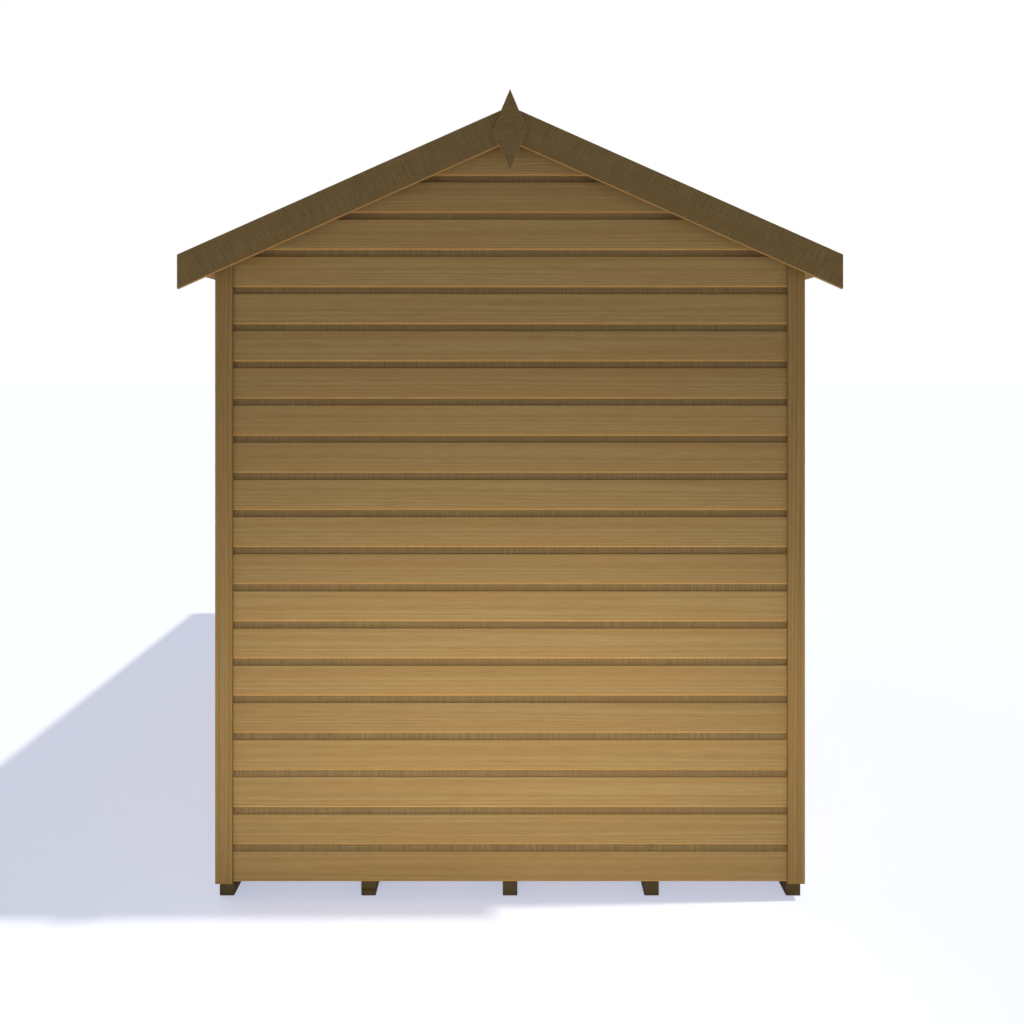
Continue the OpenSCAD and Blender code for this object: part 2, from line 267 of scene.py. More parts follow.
# %% [markdown]
# ## From parts to a finished piece
# Parts that belong together, such as the boards of one wall, are joined in one
# mesh. Faces are shaded smooth where they meet at a shallow angle and sharp where
# they meet at a steep one, so a scooped cove looks round and an arris looks crisp.
# Each piece rides on the building's one body, and the CAD nodes it stands for are hidden.

# %% Join parts into a piece
totals = {"pieces": 0, "triangles": 0}


def put_in_scene(name, data):
    """An object at the origin, linked to the scene."""
    made = bpy.data.objects.new(name, data)
    bpy.context.scene.collection.objects.link(made)
    return made


def piece(name, parts, finishes, replaced=(), crease=20):
    """Joins parts; crease is the angle in degrees from which an edge is shaded sharp."""
    whole = start()
    for part in parts:
        scrap = bpy.data.meshes.new("scrap")
        part.to_mesh(scrap)
        part.free()
        whole.from_mesh(scrap)
        bpy.data.meshes.remove(scrap)
    for face in whole.faces:
        face.smooth = True
    for edge in whole.edges:
        edge.smooth = edge.is_manifold and edge.calc_face_angle() < math.radians(crease)
    open_edges = sum(1 for edge in whole.edges if not edge.is_manifold)
    mesh = bpy.data.meshes.new(name)
    whole.to_mesh(mesh)
    whole.free()
    for finish in finishes:
        mesh.materials.append(finish)
    made = put_in_scene(name, mesh)
    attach(made, "root")
    if replaced:
        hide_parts(*replaced)
    mesh.calc_loop_triangles()
    totals["pieces"] += 1
    totals["triangles"] += len(mesh.loop_triangles)
    print(name, len(mesh.loop_triangles), "triangles", open_edges, "open edges")


print("pieces so far", totals["pieces"])

# %% [markdown]
# ## Colours and nodes
# Colours are written as the sRGB hex codes a paint chart uses, and one function
# turns them into the linear values that shaders work in. One more function adds any
# node, with its settings and its inputs, so that each finish below reads like a
# recipe.

# %% Colour and node helpers
def hex_colour(code):
    """An sRGB hex code as linear red, green, blue and alpha."""
    shown = [int(code[k:k + 2], 16) / 255 for k in (1, 3, 5)]
    linear = [v / 12.92 if v <= 0.04045 else ((v + 0.055) / 1.055) ** 2.4 for v in shown]
    return (*linear, 1.0)


def add(tree, kind, inputs=None, **settings):
    """Adds a node, sets it up, and fills its inputs with values or links."""
    node = tree.nodes.new(kind)
    for key, value in settings.items():
        setattr(node, key, value)
    for key, value in (inputs or {}).items():
        if isinstance(value, bpy.types.NodeSocket):
            tree.links.new(value, node.inputs[key])
        else:
            node.inputs[key].default_value = value
    return node


def new_finish(name):
    """An empty material and its node tree."""
    made = bpy.data.materials.new(name)
    made.use_nodes = True
    made.node_tree.nodes.clear()
    return made, made.node_tree


print("mid grey is", round(hex_colour("#808080")[0], 3), "in linear light")

# %% [markdown]
# ## Softwood
# All the timber is spruce or pine. What the eye sees on it is, from large to small:
# slow drifts of colour, growth rings sliced at a slant, streaks of fibre a few
# millimetres high and up to 200 mm long, short dark resin dashes, and a rare pin
# knot. On sawn faces the saw leaves fine marks square to the board as well. An
# image texture could give all that, but it would repeat on each board and couldn't
# show end grain. A solid pattern on the "grain" attribute does both, so one function
# mixes it, and each finish gives its own colours and amounts. Real fibres are
# 0.03 mm across, far too fine to show, so they're drawn about 1 mm wide.

# %% The softwood pattern
WAVE_RADIANS = 20                         # a wave texture makes 20 radians a unit


def softwood(name, pale, dark, warm, rough=0.66, ring=6 * MM, ring_amount=0.22,
             streak=3.2 * MM, saw=4 * MM, saw_amount=0.0, knots=1.0, relief=0.25):
    """Wood in two colours and a warmer one; ring, streak and saw are real spacings."""
    made, tree = new_finish(name)
    place = add(tree, "ShaderNodeAttribute", attribute_name="grain").outputs["Vector"]
    tone = add(tree, "ShaderNodeAttribute", attribute_name="tone").outputs["Fac"]
    stretched = add(tree, "ShaderNodeVectorMath", {0: place, 1: (0.035, 1, 1)},
                    operation="MULTIPLY").outputs[0]
    squashed = add(tree, "ShaderNodeVectorMath", {0: place, 1: (1, 0.05, 0.05)},
                   operation="MULTIPLY").outputs[0]
    rings = add(tree, "ShaderNodeTexWave", {
        "Vector": stretched, "Scale": 2 * math.pi / (WAVE_RADIANS * ring),
        "Distortion": 9.0, "Detail": 2.0, "Detail Scale": 0.22,
    }, wave_type="RINGS", rings_direction="X").outputs["Fac"]
    streaks = add(tree, "ShaderNodeTexNoise", {
        "Vector": stretched, "Scale": 1 / streak, "Detail": 3.0, "Roughness": 0.6,
    }).outputs["Fac"]
    fibres = add(tree, "ShaderNodeTexNoise", {
        "Vector": stretched, "Scale": 1 / MM, "Detail": 2.0, "Roughness": 0.6,
    }).outputs["Fac"]
    drift = add(tree, "ShaderNodeTexNoise", {
        "Vector": stretched, "Scale": 1 / (26 * MM), "Detail": 2.0,
    }).outputs["Fac"]
    marks = add(tree, "ShaderNodeTexNoise", {
        "Vector": squashed, "Scale": 1 / saw, "Detail": 3.0, "Roughness": 0.7,
    }).outputs["Fac"]
    figure = add(tree, "ShaderNodeMix", {0: ring_amount, 2: streaks, 3: rings}).outputs[0]
    figure = add(tree, "ShaderNodeMix", {0: 0.25, 2: figure, 3: fibres}).outputs[0]
    figure = add(tree, "ShaderNodeMix", {0: saw_amount, 2: figure, 3: marks}).outputs[0]
    depth = add(tree, "ShaderNodeMapRange", {0: figure, 1: 0.3, 2: 0.72}).outputs[0]
    colour = add(tree, "ShaderNodeMix", {0: depth, 6: hex_colour(pale), 7: hex_colour(dark)},
                 data_type="RGBA").outputs[2]
    warmth = add(tree, "ShaderNodeMapRange", {0: drift, 1: 0.42, 2: 0.72, 4: 0.75}).outputs[0]
    colour = add(tree, "ShaderNodeMix", {0: warmth, 6: colour, 7: hex_colour(warm)},
                 data_type="RGBA").outputs[2]
    dashes = add(tree, "ShaderNodeMapRange", {0: streaks, 1: 0.68, 2: 0.8, 4: 0.5}).outputs[0]
    colour = add(tree, "ShaderNodeMix", {0: dashes, 6: colour, 7: hex_colour("#5E4526")},
                 data_type="RGBA").outputs[2]
    spread = add(tree, "ShaderNodeTexVoronoi", {"Vector": place, "Scale": 3.4},
                 voronoi_dimensions="2D").outputs["Distance"]
    knot = add(tree, "ShaderNodeMapRange", {0: spread, 1: 0.024, 2: 0.010, 4: 0.8 * knots})
    colour = add(tree, "ShaderNodeMix", {0: knot.outputs[0], 6: colour, 7: hex_colour("#4A3319")},
                 data_type="RGBA").outputs[2]
    shade = add(tree, "ShaderNodeMapRange", {0: tone, 1: -1.0, 2: 1.0, 3: 0.93, 4: 1.06})
    colour = add(tree, "ShaderNodeVectorMath", {0: colour, "Scale": shade.outputs[0]},
                 operation="SCALE").outputs[0]
    bump = add(tree, "ShaderNodeBump", {"Height": figure, "Strength": relief,
                                        "Distance": 0.6 * MM}).outputs[0]
    gloss = add(tree, "ShaderNodeMapRange", {0: figure, 1: 0.3, 2: 0.7, 3: rough - 0.06,
                                             4: rough + 0.08}).outputs[0]
    shader = add(tree, "ShaderNodeBsdfPrincipled", {
        "Base Color": colour, "Roughness": gloss, "Normal": bump, "IOR": 1.5,
        "Specular IOR Level": 0.3,
    })
    add(tree, "ShaderNodeOutputMaterial", {"Surface": shader.outputs[0]})
    return made


print("6 mm growth rings need a scale of", round(2 * math.pi / (WAVE_RADIANS * 6 * MM), 1))

# %% [markdown]
# ## The timber finishes
# The cladding is dip-treated: a water-based honey-brown preservative that soaks in
# and leaves the grain showing. Its face is planed, and the cove along each board is
# cut by a spinning moulder knife, which leaves ripples across it; the cove is also
# coloured darker as painted shade, and edges that face down are coloured paler as a
# painted highlight. The trim boards have the same treatment on narrower, straighter
# wood. Bargeboards and finials are left sawn, so they're duller and show the saw's
# marks square to their length, and their colour is darker than the cladding's as
# painted shade. The bearers are sawn and pressure-treated, a darker olive. Inside,
# the wood is bare.

# %% Make the timber finishes
def dip_treated_shiplap():
    """Planed spruce, dipped: honey brown, with soft grain and little gloss."""
    return softwood("dip_treated_shiplap", "#BA9B64", "#A07F4B", "#B08850", knots=0.0)


def rippled_cove_painted_shade():
    """Spruce cut by a moulder knife, with fine ripples across it; its darker colour is painted
    shade in the scooped cove.
    """
    return softwood("rippled_cove_painted_shade", "#A88A5A", "#73603C", "#94754A",
                    saw=5 * MM, saw_amount=0.6, knots=0.0)


def painted_highlight_edge():
    """Dipped spruce, painted paler and warmer as a highlight where an edge faces down to the
    bright floor: a bright warm line.
    """
    return softwood("painted_highlight_edge", "#D9AC68", "#BD8E4E", "#CF9D58", knots=0.0)


def dip_treated_trim():
    """Planed pine, dipped: straighter, closer grain than the cladding."""
    return softwood("dip_treated_trim", "#B3925A", "#967542", "#A67E48", streak=2.6 * MM,
                    ring=4.5 * MM, ring_amount=0.3)


def sawn_bargeboard_painted_shade():
    """Band-sawn spruce, treated, with saw marks square to the board: dull, and grey-brown darker
    than the cladding as painted shade.
    """
    return softwood("sawn_bargeboard_painted_shade", "#A08656", "#735D38", "#8F7142", rough=0.78,
                    saw=3.2 * MM, saw_amount=0.75, relief=0.5, knots=0.4)


def pressure_treated_sawn():
    """Sawn pine, pressure-treated with copper salts: dark olive and quite matt."""
    return softwood("pressure_treated_sawn", "#685B3D", "#473A23", "#58492A", rough=0.82,
                    saw=4 * MM, saw_amount=0.45, relief=0.5)


def bare_planed_spruce():
    """Planed spruce with nothing on it: pale straw, darkening to amber with age."""
    return softwood("bare_planed_spruce", "#D8BC8B", "#BE9C67", "#CDA46B", rough=0.6)


SHIPLAP = dip_treated_shiplap()
SHADED_COVE = rippled_cove_painted_shade()
PAINTED_HIGHLIGHT = painted_highlight_edge()
TRIM = dip_treated_trim()
SAWN_SHADED = sawn_bargeboard_painted_shade()
BEARER = pressure_treated_sawn()
SPRUCE = bare_planed_spruce()
timber = (SHIPLAP, SHADED_COVE, PAINTED_HIGHLIGHT, TRIM, SAWN_SHADED, BEARER, SPRUCE)
print("timber finishes", [finish.name for finish in timber])

# %% [markdown]
# ## Roofing felt
# Roofing felt is a bitumen sheet pressed full of crushed slate, so it's rough and
# speckled. Its 1 mm granules are drawn about 3 mm wide so that they show. The sheet
# never lies quite flat, which a second, broad bump gives.

# %% Make the felt's finish
def slate_granule_felt():
    """Mineral felt, rolled with crushed slate: dark grey specks, faded in patches."""
    made, tree = new_finish("slate_granule_felt")
    place = add(tree, "ShaderNodeTexCoord").outputs["Object"]
    granules = add(tree, "ShaderNodeTexVoronoi", {"Vector": place, "Scale": 1 / (3 * MM)})
    weather = add(tree, "ShaderNodeTexNoise", {"Vector": place, "Scale": 3.0, "Detail": 5.0})
    buckle = add(tree, "ShaderNodeTexNoise", {"Vector": place, "Scale": 5.0, "Detail": 1.0})
    speck = add(tree, "ShaderNodeSeparateColor", {0: granules.outputs["Color"]}).outputs[0]
    colour = add(tree, "ShaderNodeMix", {0: speck, 6: hex_colour("#3B3D3A"),
                                         7: hex_colour("#66675F")}, data_type="RGBA").outputs[2]
    faded = add(tree, "ShaderNodeMapRange", {0: weather.outputs[0], 1: 0.4, 2: 0.75, 4: 0.45})
    colour = add(tree, "ShaderNodeMix", {0: faded.outputs[0], 6: colour,
                                         7: hex_colour("#747369")}, data_type="RGBA").outputs[2]
    grit = add(tree, "ShaderNodeBump", {"Height": granules.outputs["Distance"],
                                        "Strength": 0.5, "Distance": 1 * MM}).outputs[0]
    bump = add(tree, "ShaderNodeBump", {"Height": buckle.outputs[0], "Strength": 0.35,
                                        "Distance": 12 * MM, "Normal": grit}).outputs[0]
    shader = add(tree, "ShaderNodeBsdfPrincipled", {
        "Base Color": colour, "Roughness": 0.92, "Normal": bump, "Specular IOR Level": 0.25,
    })
    add(tree, "ShaderNodeOutputMaterial", {"Surface": shader.outputs[0]})
    return made


FELT = slate_granule_felt()
print("felt finish", FELT.name)

# %% [markdown]
# ## Iron, zinc and glass
# The door furniture is iron with a baked black enamel, satin and very slightly
# rippled. Nails are hot-dipped zinc with a dull spangle. Both are two close colours
# in soft patches, so one pattern makes both. The glass is plain float glass. It lets
# lamps through by a Transparent shader, so that the room behind it isn't dark.

# %% Make the metal and glass finishes
def metal_finish(name, base, second, size, metallic, rough, ripple):
    """A coated or plated metal: two close colours in soft patches, and a slight ripple."""
    made, tree = new_finish(name)
    place = add(tree, "ShaderNodeTexCoord").outputs["Object"]
    patches = add(tree, "ShaderNodeTexNoise", {"Vector": place, "Scale": 1 / size,
                                               "Detail": 3.0}).outputs[0]
    colour = add(tree, "ShaderNodeMix", {0: patches, 6: hex_colour(base),
                                         7: hex_colour(second)}, data_type="RGBA").outputs[2]
    gloss = add(tree, "ShaderNodeMapRange", {0: patches, 3: rough - 0.08, 4: rough + 0.08})
    bump = add(tree, "ShaderNodeBump", {"Height": patches, "Strength": ripple,
                                        "Distance": 0.2 * MM}).outputs[0]
    shader = add(tree, "ShaderNodeBsdfPrincipled", {
        "Base Color": colour, "Roughness": gloss.outputs[0], "Normal": bump,
        "Metallic": metallic,
    })
    add(tree, "ShaderNodeOutputMaterial", {"Surface": shader.outputs[0]})
    return made


def black_enamelled_iron():
    """Pressed iron, enamelled and baked: a satin black, so the metal isn't seen."""
    return metal_finish("black_enamelled_iron", "#1D1D20", "#2C2C2F", 2 * MM, 0.0, 0.38, 0.3)


def spangled_zinc():
    """Steel dipped in molten zinc: dull silver, with crystals 1 mm across."""
    return metal_finish("spangled_zinc", "#8E9092", "#B4B6B6", 1 * MM, 1.0, 0.5, 0.2)


def clear_float_glass():
    """Float glass, 4 mm: clear, hardly green, with dust that blurs it a little."""
    made, tree = new_finish("clear_float_glass")
    place = add(tree, "ShaderNodeTexCoord").outputs["Object"]
    dust = add(tree, "ShaderNodeTexNoise", {"Vector": place, "Scale": 9.0, "Detail": 4.0})
    gloss = add(tree, "ShaderNodeMapRange", {0: dust.outputs[0], 3: 0.0, 4: 0.05})
    pane = add(tree, "ShaderNodeBsdfPrincipled", {
        "Base Color": hex_colour("#F2F8F5"), "Roughness": gloss.outputs[0], "IOR": 1.5,
        "Transmission Weight": 1.0,
    })
    clear = add(tree, "ShaderNodeBsdfTransparent", {"Color": hex_colour("#EEF6F2")})
    lamp_ray = add(tree, "ShaderNodeLightPath").outputs["Is Shadow Ray"]
    mixed = add(tree, "ShaderNodeMixShader", {0: lamp_ray, 1: pane.outputs[0],
                                              2: clear.outputs[0]})
    add(tree, "ShaderNodeOutputMaterial", {"Surface": mixed.outputs[0]})
    return made


IRON = black_enamelled_iron()
ZINC = spangled_zinc()
GLASS = clear_float_glass()
print("metal and glass", [finish.name for finish in (IRON, ZINC, GLASS)])

# %% [markdown]
# ## One shiplap board
# Shiplap is the heart of this building's look. Each board has a rounded lip at the
# bottom, a flat face, and a scooped cove at the top that ends in a thin tongue. The
# next board's lip hides the tongue, so rain can't run in. The lip is a quarter
# circle and the cove a quarter ellipse, so both are worked out from a few sizes. The
# outline becomes a face, and extruding it gives the length, as the moulder does.

# %% Shiplap sizes and outline
COURSE = 113.9 * MM                       # height that each board covers
LIP = 5 * MM                              # radius of the lower lip
COVE_H = 21 * MM                          # height of the scooped cove
TONGUE_T = 5.5 * MM                       # thickness of the tongue
TONGUE_H = 8 * MM                         # height of the tongue above the cove
TONGUE_PLAY = 0.3 * MM                    # room between a tongue and its rebate


def shiplap_outline():
    """Points of a board's section as (distance out from the framing, height)."""
    rebate = TONGUE_H + 1 * MM
    lip = [(CLAD_T - LIP + LIP * math.sin(turned), LIP - LIP * math.cos(turned))
           for turned in (math.radians(30 * k) for k in range(4))]
    cove = [(CLAD_T - (CLAD_T - TONGUE_T) * math.sin(turned),
             COURSE - COVE_H * math.cos(turned))
            for turned in (math.radians(10 * k) for k in range(10))]
    tongue = [(TONGUE_T - TONGUE_PLAY, COURSE), (TONGUE_T - TONGUE_PLAY, COURSE + TONGUE_H),
              (0, COURSE + TONGUE_H)]
    return [(0, rebate), (TONGUE_T, rebate), (TONGUE_T, 0)] + lip + cove + tongue


def shiplap_board(half, face, low):
    """A board facing the front: 2 * half long, its face at y = -face, its lip at low."""
    back = face - CLAD_T
    outline = [(-half, -back - out, low + up) for out, up in shiplap_outline()]
    bm = prism(outline, (2 * half, 0, 0))
    stamp(bm, "x")
    for item in bm.faces:
        height = item.calc_center_median().z - low
        if abs(item.normal.x) < 0.5:
            # The cove and the tongue get the second finish, whose darker colour is painted shade.
            if COURSE - COVE_H < height < COURSE + TONGUE_H:
                item.material_index = 1
            # The underside of the lip gets the third finish, a painted highlight.
            if height < LIP and item.calc_center_median().y < -back:
                item.material_index = 2
    return bm


print("outline points", len(shiplap_outline()))

# %% [markdown]
# ## Boards around an opening
# A board that meets a door or window is sawn short or notched. A Boolean modifier
# could do that, but its new points lose the grain. Instead, the board is sliced
# along the opening's edges without throwing anything away, the faces inside the
# opening are deleted, and each flat cut end is filled again.

# %% Notch a board
def slice_at(bm, axis, value, within=None):
    """Adds edges where a board crosses a plane square to one axis."""
    faces = [face for face in bm.faces if within is None or within(face)]
    parts = {item for face in faces for item in (face, *face.edges, *face.verts)}
    normal = [0, 0, 0]
    normal[axis] = 1
    point = [value if k == axis else 0 for k in range(3)]
    bmesh.ops.bisect_plane(bm, geom=list(parts), dist=0.01 * MM, plane_co=point, plane_no=normal)


def close_at(bm, axis, value):
    """Fills the open edges that lie in a plane square to one axis."""
    rim = [edge for edge in bm.edges if edge.is_boundary
           and all(abs(vert.co[axis] - value) < 0.05 * MM for vert in edge.verts)]
    if not rim:
        return
    count = {}
    for edge in rim:
        for vert in edge.verts:
            count[vert] = count.get(vert, 0) + 1
    loose = [vert for vert, uses in count.items() if uses == 1]
    if len(loose) == 2:
        rim.append(bm.edges.new(loose))
    bmesh.ops.edgeloop_fill(bm, edges=rim)


def notch(bm, x0, x1, z0, z1):
    """Takes a rectangle out of a board that faces the front."""
    def inside(face):
        middle = face.calc_center_median()
        return x0 < middle.x < x1

    low = min(vert.co.z for vert in bm.verts)
    high = max(vert.co.z for vert in bm.verts)
    if high <= z0 or low >= z1:
        return bm
    slice_at(bm, 0, x0)
    slice_at(bm, 0, x1)
    for level in (z0, z1):
        slice_at(bm, 2, level, inside)
    gone = [face for face in bm.faces if inside(face)
            and z0 < face.calc_center_median().z < z1]
    bmesh.ops.delete(bm, geom=gone, context="FACES")
    for axis, value in ((0, x0), (0, x1), (2, z0), (2, z1)):
        close_at(bm, axis, value)
    bmesh.ops.recalc_face_normals(bm, faces=bm.faces[:])
    return bm


test = prism([(-1, 0, 0), (-1, 1, 0), (-1, 1, 1), (-1, 0, 1)], (2, 0, 0))
print("a notched block has", len(notch(test, -0.5, 0.5, 0.5, 2).faces), "faces")
test.free()

# %% [markdown]
# ## The four clad walls
# A wall is a stack of boards from the bottom up. The gables are sawn along both
# slopes and the side walls along one, and the right wall's boards are notched for
# the pair of doors and the two windows. Boards are turned to their wall after the
# notching, because the notches are easiest to give along the wall.

# %% Build the walls
def shiplap_wall(half, face, degrees, slopes, openings=()):
    """Boards from the bottom up, turned to their wall and sawn under the named slopes."""
    boards = []
    low = CLAD_LOW
    while low < GABLE_HI.z:
        bm = shiplap_board(half, face, low)
        for opening in openings:
            notch(bm, *opening)
        turn(bm, degrees)
        cut_under_roof(bm, slopes)
        if bm.faces:
            boards.append(bm)
        low += COURSE
    return boards


HEAD_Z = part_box("door_frame")[1].z
DOOR_HALF = 600 * MM                      # half the width of the door opening
WINDOW_LO, WINDOW_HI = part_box("back_window_frame")
window_spans = [(sign * WINDOW_LO.y, sign * WINDOW_HI.y) for sign in (-1, 1)]
openings = [(-DOOR_HALF, DOOR_HALF, 0, HEAD_Z)]
openings += [(min(span), max(span), WINDOW_LO.z, WINDOW_HI.z) for span in window_spans]

CLADDING = [SHIPLAP, SHADED_COVE, PAINTED_HIGHLIGHT]
piece("front_gable_shiplap", shiplap_wall(CLAD_X, CLAD_Y, 0, (-1, 1)), CLADDING,
      ["front_gable_wall"])
piece("back_gable_shiplap", shiplap_wall(CLAD_X, CLAD_Y, 180, (-1, 1)), CLADDING,
      ["back_gable_wall"])
piece("left_shiplap", shiplap_wall(FRAME_Y, CLAD_X, -90, (-1,)), CLADDING,
      ["left_wall"])
piece("right_shiplap", shiplap_wall(FRAME_Y, CLAD_X, 90, (1,), openings), CLADDING,
      ["right_wall"])

# %% [markdown]
# ## Corner trims
# Each corner has two boards: one on the gable, and one on the side wall that also
# covers the first one's edge. They hide the ends of the shiplap. Their heads are
# sawn to the slope, and a pin nail every 450 mm holds each one.

# %% Nail heads and corner trims
TRIM_TOP = roof_z(CLAD_X - TRIM_W)
FIRST_NAIL = 45 * MM                      # height of the lowest nail in a corner board
NAIL_STEP = 450 * MM
NAIL_OFFSET = 20 * MM                     # keeps the two rows of nails from meeting
NAILS = 5                                 # in each corner board


def nail_head(place, facing, radius=1.6 * MM, proud=0.3 * MM):
    """A small round head, standing a little proud of the board it holds."""
    bm = start()
    bmesh.ops.create_cone(bm, cap_ends=True, segments=10, radius1=radius,
                          radius2=0.8 * radius, depth=2 * proud)
    return aim(bm, facing, place)


nails = []
for end_name, end in ENDS.items():
    for side_name, side in SIDES.items():
        gable_face = plank((side * (CLAD_X - TRIM_W), side * CLAD_X),
                           (end * CLAD_Y, end * TRIM_Y), (CLAD_LOW, TRIM_TOP), "z")
        side_face = plank((side * CLAD_X, side * BODY_X),
                          (end * (TRIM_Y - TRIM_W), end * TRIM_Y), (CLAD_LOW, TRIM_TOP), "z")
        boards = [soften(cut_under_roof(bm, (side,)), ARRIS) for bm in (gable_face, side_face)]
        corner = f"{end_name}_{side_name}"
        piece(f"{corner}_corner_boards", boards, [TRIM], [f"{corner}_corner_trim"])
        for k in range(NAILS):
            z = CLAD_LOW + FIRST_NAIL + k * NAIL_STEP
            x = side * (CLAD_X - TRIM_W / 2)
            nails.append(nail_head((x, end * TRIM_Y, z), (0, end, 0)))
            y = end * (TRIM_Y - TRIM_W / 2)
            nails.append(nail_head((side * BODY_X, y, z + NAIL_OFFSET), (side, 0, 0)))
piece("corner_nails", nails, [ZINC])

# %% [markdown]
# ## Bargeboards and finials
# The bargeboards close the ends of the roof. Each is one board laid along its
# slope, plumb-cut at the ridge where the pair meets and at the eaves. Its underside
# is painted paler as a highlight, so it shows as a thin bright line below the dull
# face, whose colour is painted darker as shade. A diamond finial is nailed over the
# joint, with the same painted highlight and shade. Its fibres lie a little off the
# level, because it's cut from an offcut.

# %% Build bargeboards and finials
barge_lo, barge_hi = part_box("back_right_bargeboard")
BARGE_Y = barge_hi.y
BARGE_DEPTH = (roof_z(ROOF_X) - barge_lo.z) * math.cos(PITCH)
SLOPE_L = ROOF_X / math.cos(PITCH)        # from the ridge down to the eaves
SPARE = 80 * MM                           # left on each end for the plumb cuts


def paint_underside_highlight(bm):
    """Gives the faces that look down the second finish, paler as a painted highlight."""
    bm.normal_update()
    for face in bm.faces:
        if face.normal.z < -0.3:
            face.material_index = 1
    return bm


def cut_plumb(bm, side, inner, outer):
    """Saws a sloping piece upright at two distances from the ridge."""
    if inner is not None:
        cut(bm, (side * inner, 0, 0), (-side, 0, 0))
    if outer is not None:
        cut(bm, (side * outer, 0, 0), (side, 0, 0))
    return bm


for end_name, end in ENDS.items():
    for side_name, side in SIDES.items():
        y = (side * end * ROOF_Y, side * end * BARGE_Y)
        bm = plank((-SPARE, SLOPE_L + SPARE), y, (-BARGE_DEPTH, 0), "x")
        lay_on_slope(bm, side)
        cut_plumb(bm, side, 0, ROOF_X)
        paint_underside_highlight(soften(bm, ARRIS))
        name = f"{end_name}_{side_name}_bargeboard"
        piece(f"{name}_sawn", [bm], [SAWN_SHADED, PAINTED_HIGHLIGHT], [name])

FIBRE_TILT = 17                           # degrees off the level
for end_name, end in ENDS.items():
    low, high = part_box(f"{end_name}_finial")
    middle = (low + high) / 2
    front = end * max(abs(low.y), abs(high.y))
    corners = [(0, low.z), (high.x, middle.z), (0, high.z), (low.x, middle.z)]
    bm = prism([(x, end * BARGE_Y, z) for x, z in corners], (0, front - end * BARGE_Y, 0))
    turn(bm, FIBRE_TILT, "Y", middle)
    stamp(bm, "z")
    turn(bm, -FIBRE_TILT, "Y", middle)
    rim = [edge for edge in bm.edges
           if all(abs(vert.co.y - front) < 0.1 * MM for vert in edge.verts)]
    paint_underside_highlight(soften(bm, ARRIS, rim))
    piece(f"{end_name}_diamond_finial", [bm], [SAWN_SHADED, PAINTED_HIGHLIGHT],
          [f"{end_name}_finial"])

# %% [markdown]
# ## Roof boards, battens and beams
# The roof is boarded with thin matchboard that runs along the building. The small
# chamfers on its edges show as fine V-grooves on the underside, behind the
# bargeboards and through the windows. The boards are laid flat side by side, tipped
# onto the slope, and sawn upright at the ridge and the eaves. A batten stiffens each
# eaves, painted paler all over as a highlight for its underside. A ridge beam and two
# purlins hold the boards up.

# %% Build the roof boards, battens, ridge beam and purlins
ROOF_BOARDS = 10                          # on each slope
BOARD_GAP = 0.4 * MM
GROOVE = 2 * MM                           # chamfer on each edge of a roof board
BATTEN_W = BATTEN_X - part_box("right_eaves_batten")[0].x
for side_name, side in SIDES.items():
    step = (SLOPE_L + 2 * SPARE) / ROOF_BOARDS
    boards = []
    for k in range(ROOF_BOARDS):
        x = (-SPARE + k * step, -SPARE + (k + 1) * step - BOARD_GAP)
        bm = board(x, (-ROOF_Y, ROOF_Y), (-COVER_T, -FELT_T), "y", GROOVE)
        cut_plumb(lay_on_slope(bm, side), side, 0, BATTEN_X)
        if bm.faces:
            boards.append(bm)
    piece(f"{side_name}_roof_matchboard", boards, [SPRUCE],
          [f"{side_name}_roof_boards"])

    bm = plank((side * (BATTEN_X - BATTEN_W), side * BATTEN_X), (-ROOF_Y, ROOF_Y),
               (EAVE_Z, RIDGE_Z), "y")
    cut_under_roof(bm, (side,))
    cut(bm, (side * BATTEN_X, 0, EAVE_Z), (-side * math.sin(PITCH), 0, -math.cos(PITCH)))
    # The rail takes the paler finish, a painted highlight for the underside that the floor
    # lights.
    piece(f"{side_name}_eaves_rail", [soften(bm, 1 * MM)], [PAINTED_HIGHLIGHT],
          [f"{side_name}_eaves_batten"])

    low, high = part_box(f"{side_name}_purlin")
    near, far = sorted((abs(low.x), abs(high.x)))
    depth = (roof_z(near, COVER_T) - low.z) * math.cos(PITCH) - (far - near) * math.sin(PITCH)
    bm = plank((0, SLOPE_L), (low.y, high.y), (-COVER_T - depth, -COVER_T), "y")
    cut_plumb(lay_on_slope(bm, side), side, near, far)
    piece(f"{side_name}_purlin_timber", [soften(bm, TIMBER_ARRIS)], [SPRUCE],
          [f"{side_name}_purlin"])

low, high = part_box("ridge_beam")
bm = cut_under_roof(plank((low.x, high.x), (low.y, high.y), (low.z, RIDGE_Z), "y"), (-1, 1))
piece("ridge_timber", [soften(bm, TIMBER_ARRIS)], [SPRUCE], ["ridge_beam"])

# %% [markdown]
# ## Felt and its clout nails
# On each slope the felt is two strips. The lower one turns down over the eaves, and
# the upper one laps over it by 75 mm, so the lap shows as a thin step along the
# roof. A third strip folds over the ridge. The turned-down strip is extruded from
# its bent outline, since a slab bent by a modifier would change thickness at the
# fold. Clout nails with broad flat heads hold the laps and the eaves, about 110 mm
# apart. No two are quite in line, because a roofer spaces them by eye.

# %% Build the felt
SHEET_T = FELT_T / 2
LAP_X = 0.42                              # share of the half span that the upper sheet covers
LAP_W = 75 * MM
CLOUT_R = 5 * MM
CLOUT_PROUD = 0.5 * MM
CLOUT_STEP = 110 * MM
CLOUT_IN = 20 * MM                        # from the edge of a sheet to its row of nails
CLOUT_END = 30 * MM                       # from the end of the roof to the first nail
EAVES_CLOUTS = 29                         # in the row along each eaves


def felt_strip(outline, side):
    """A strip with its section given as (distance from the ridge, height)."""
    return prism([(side * x, -ROOF_Y, z) for x, z in outline], (0, 2 * ROOF_Y, 0))


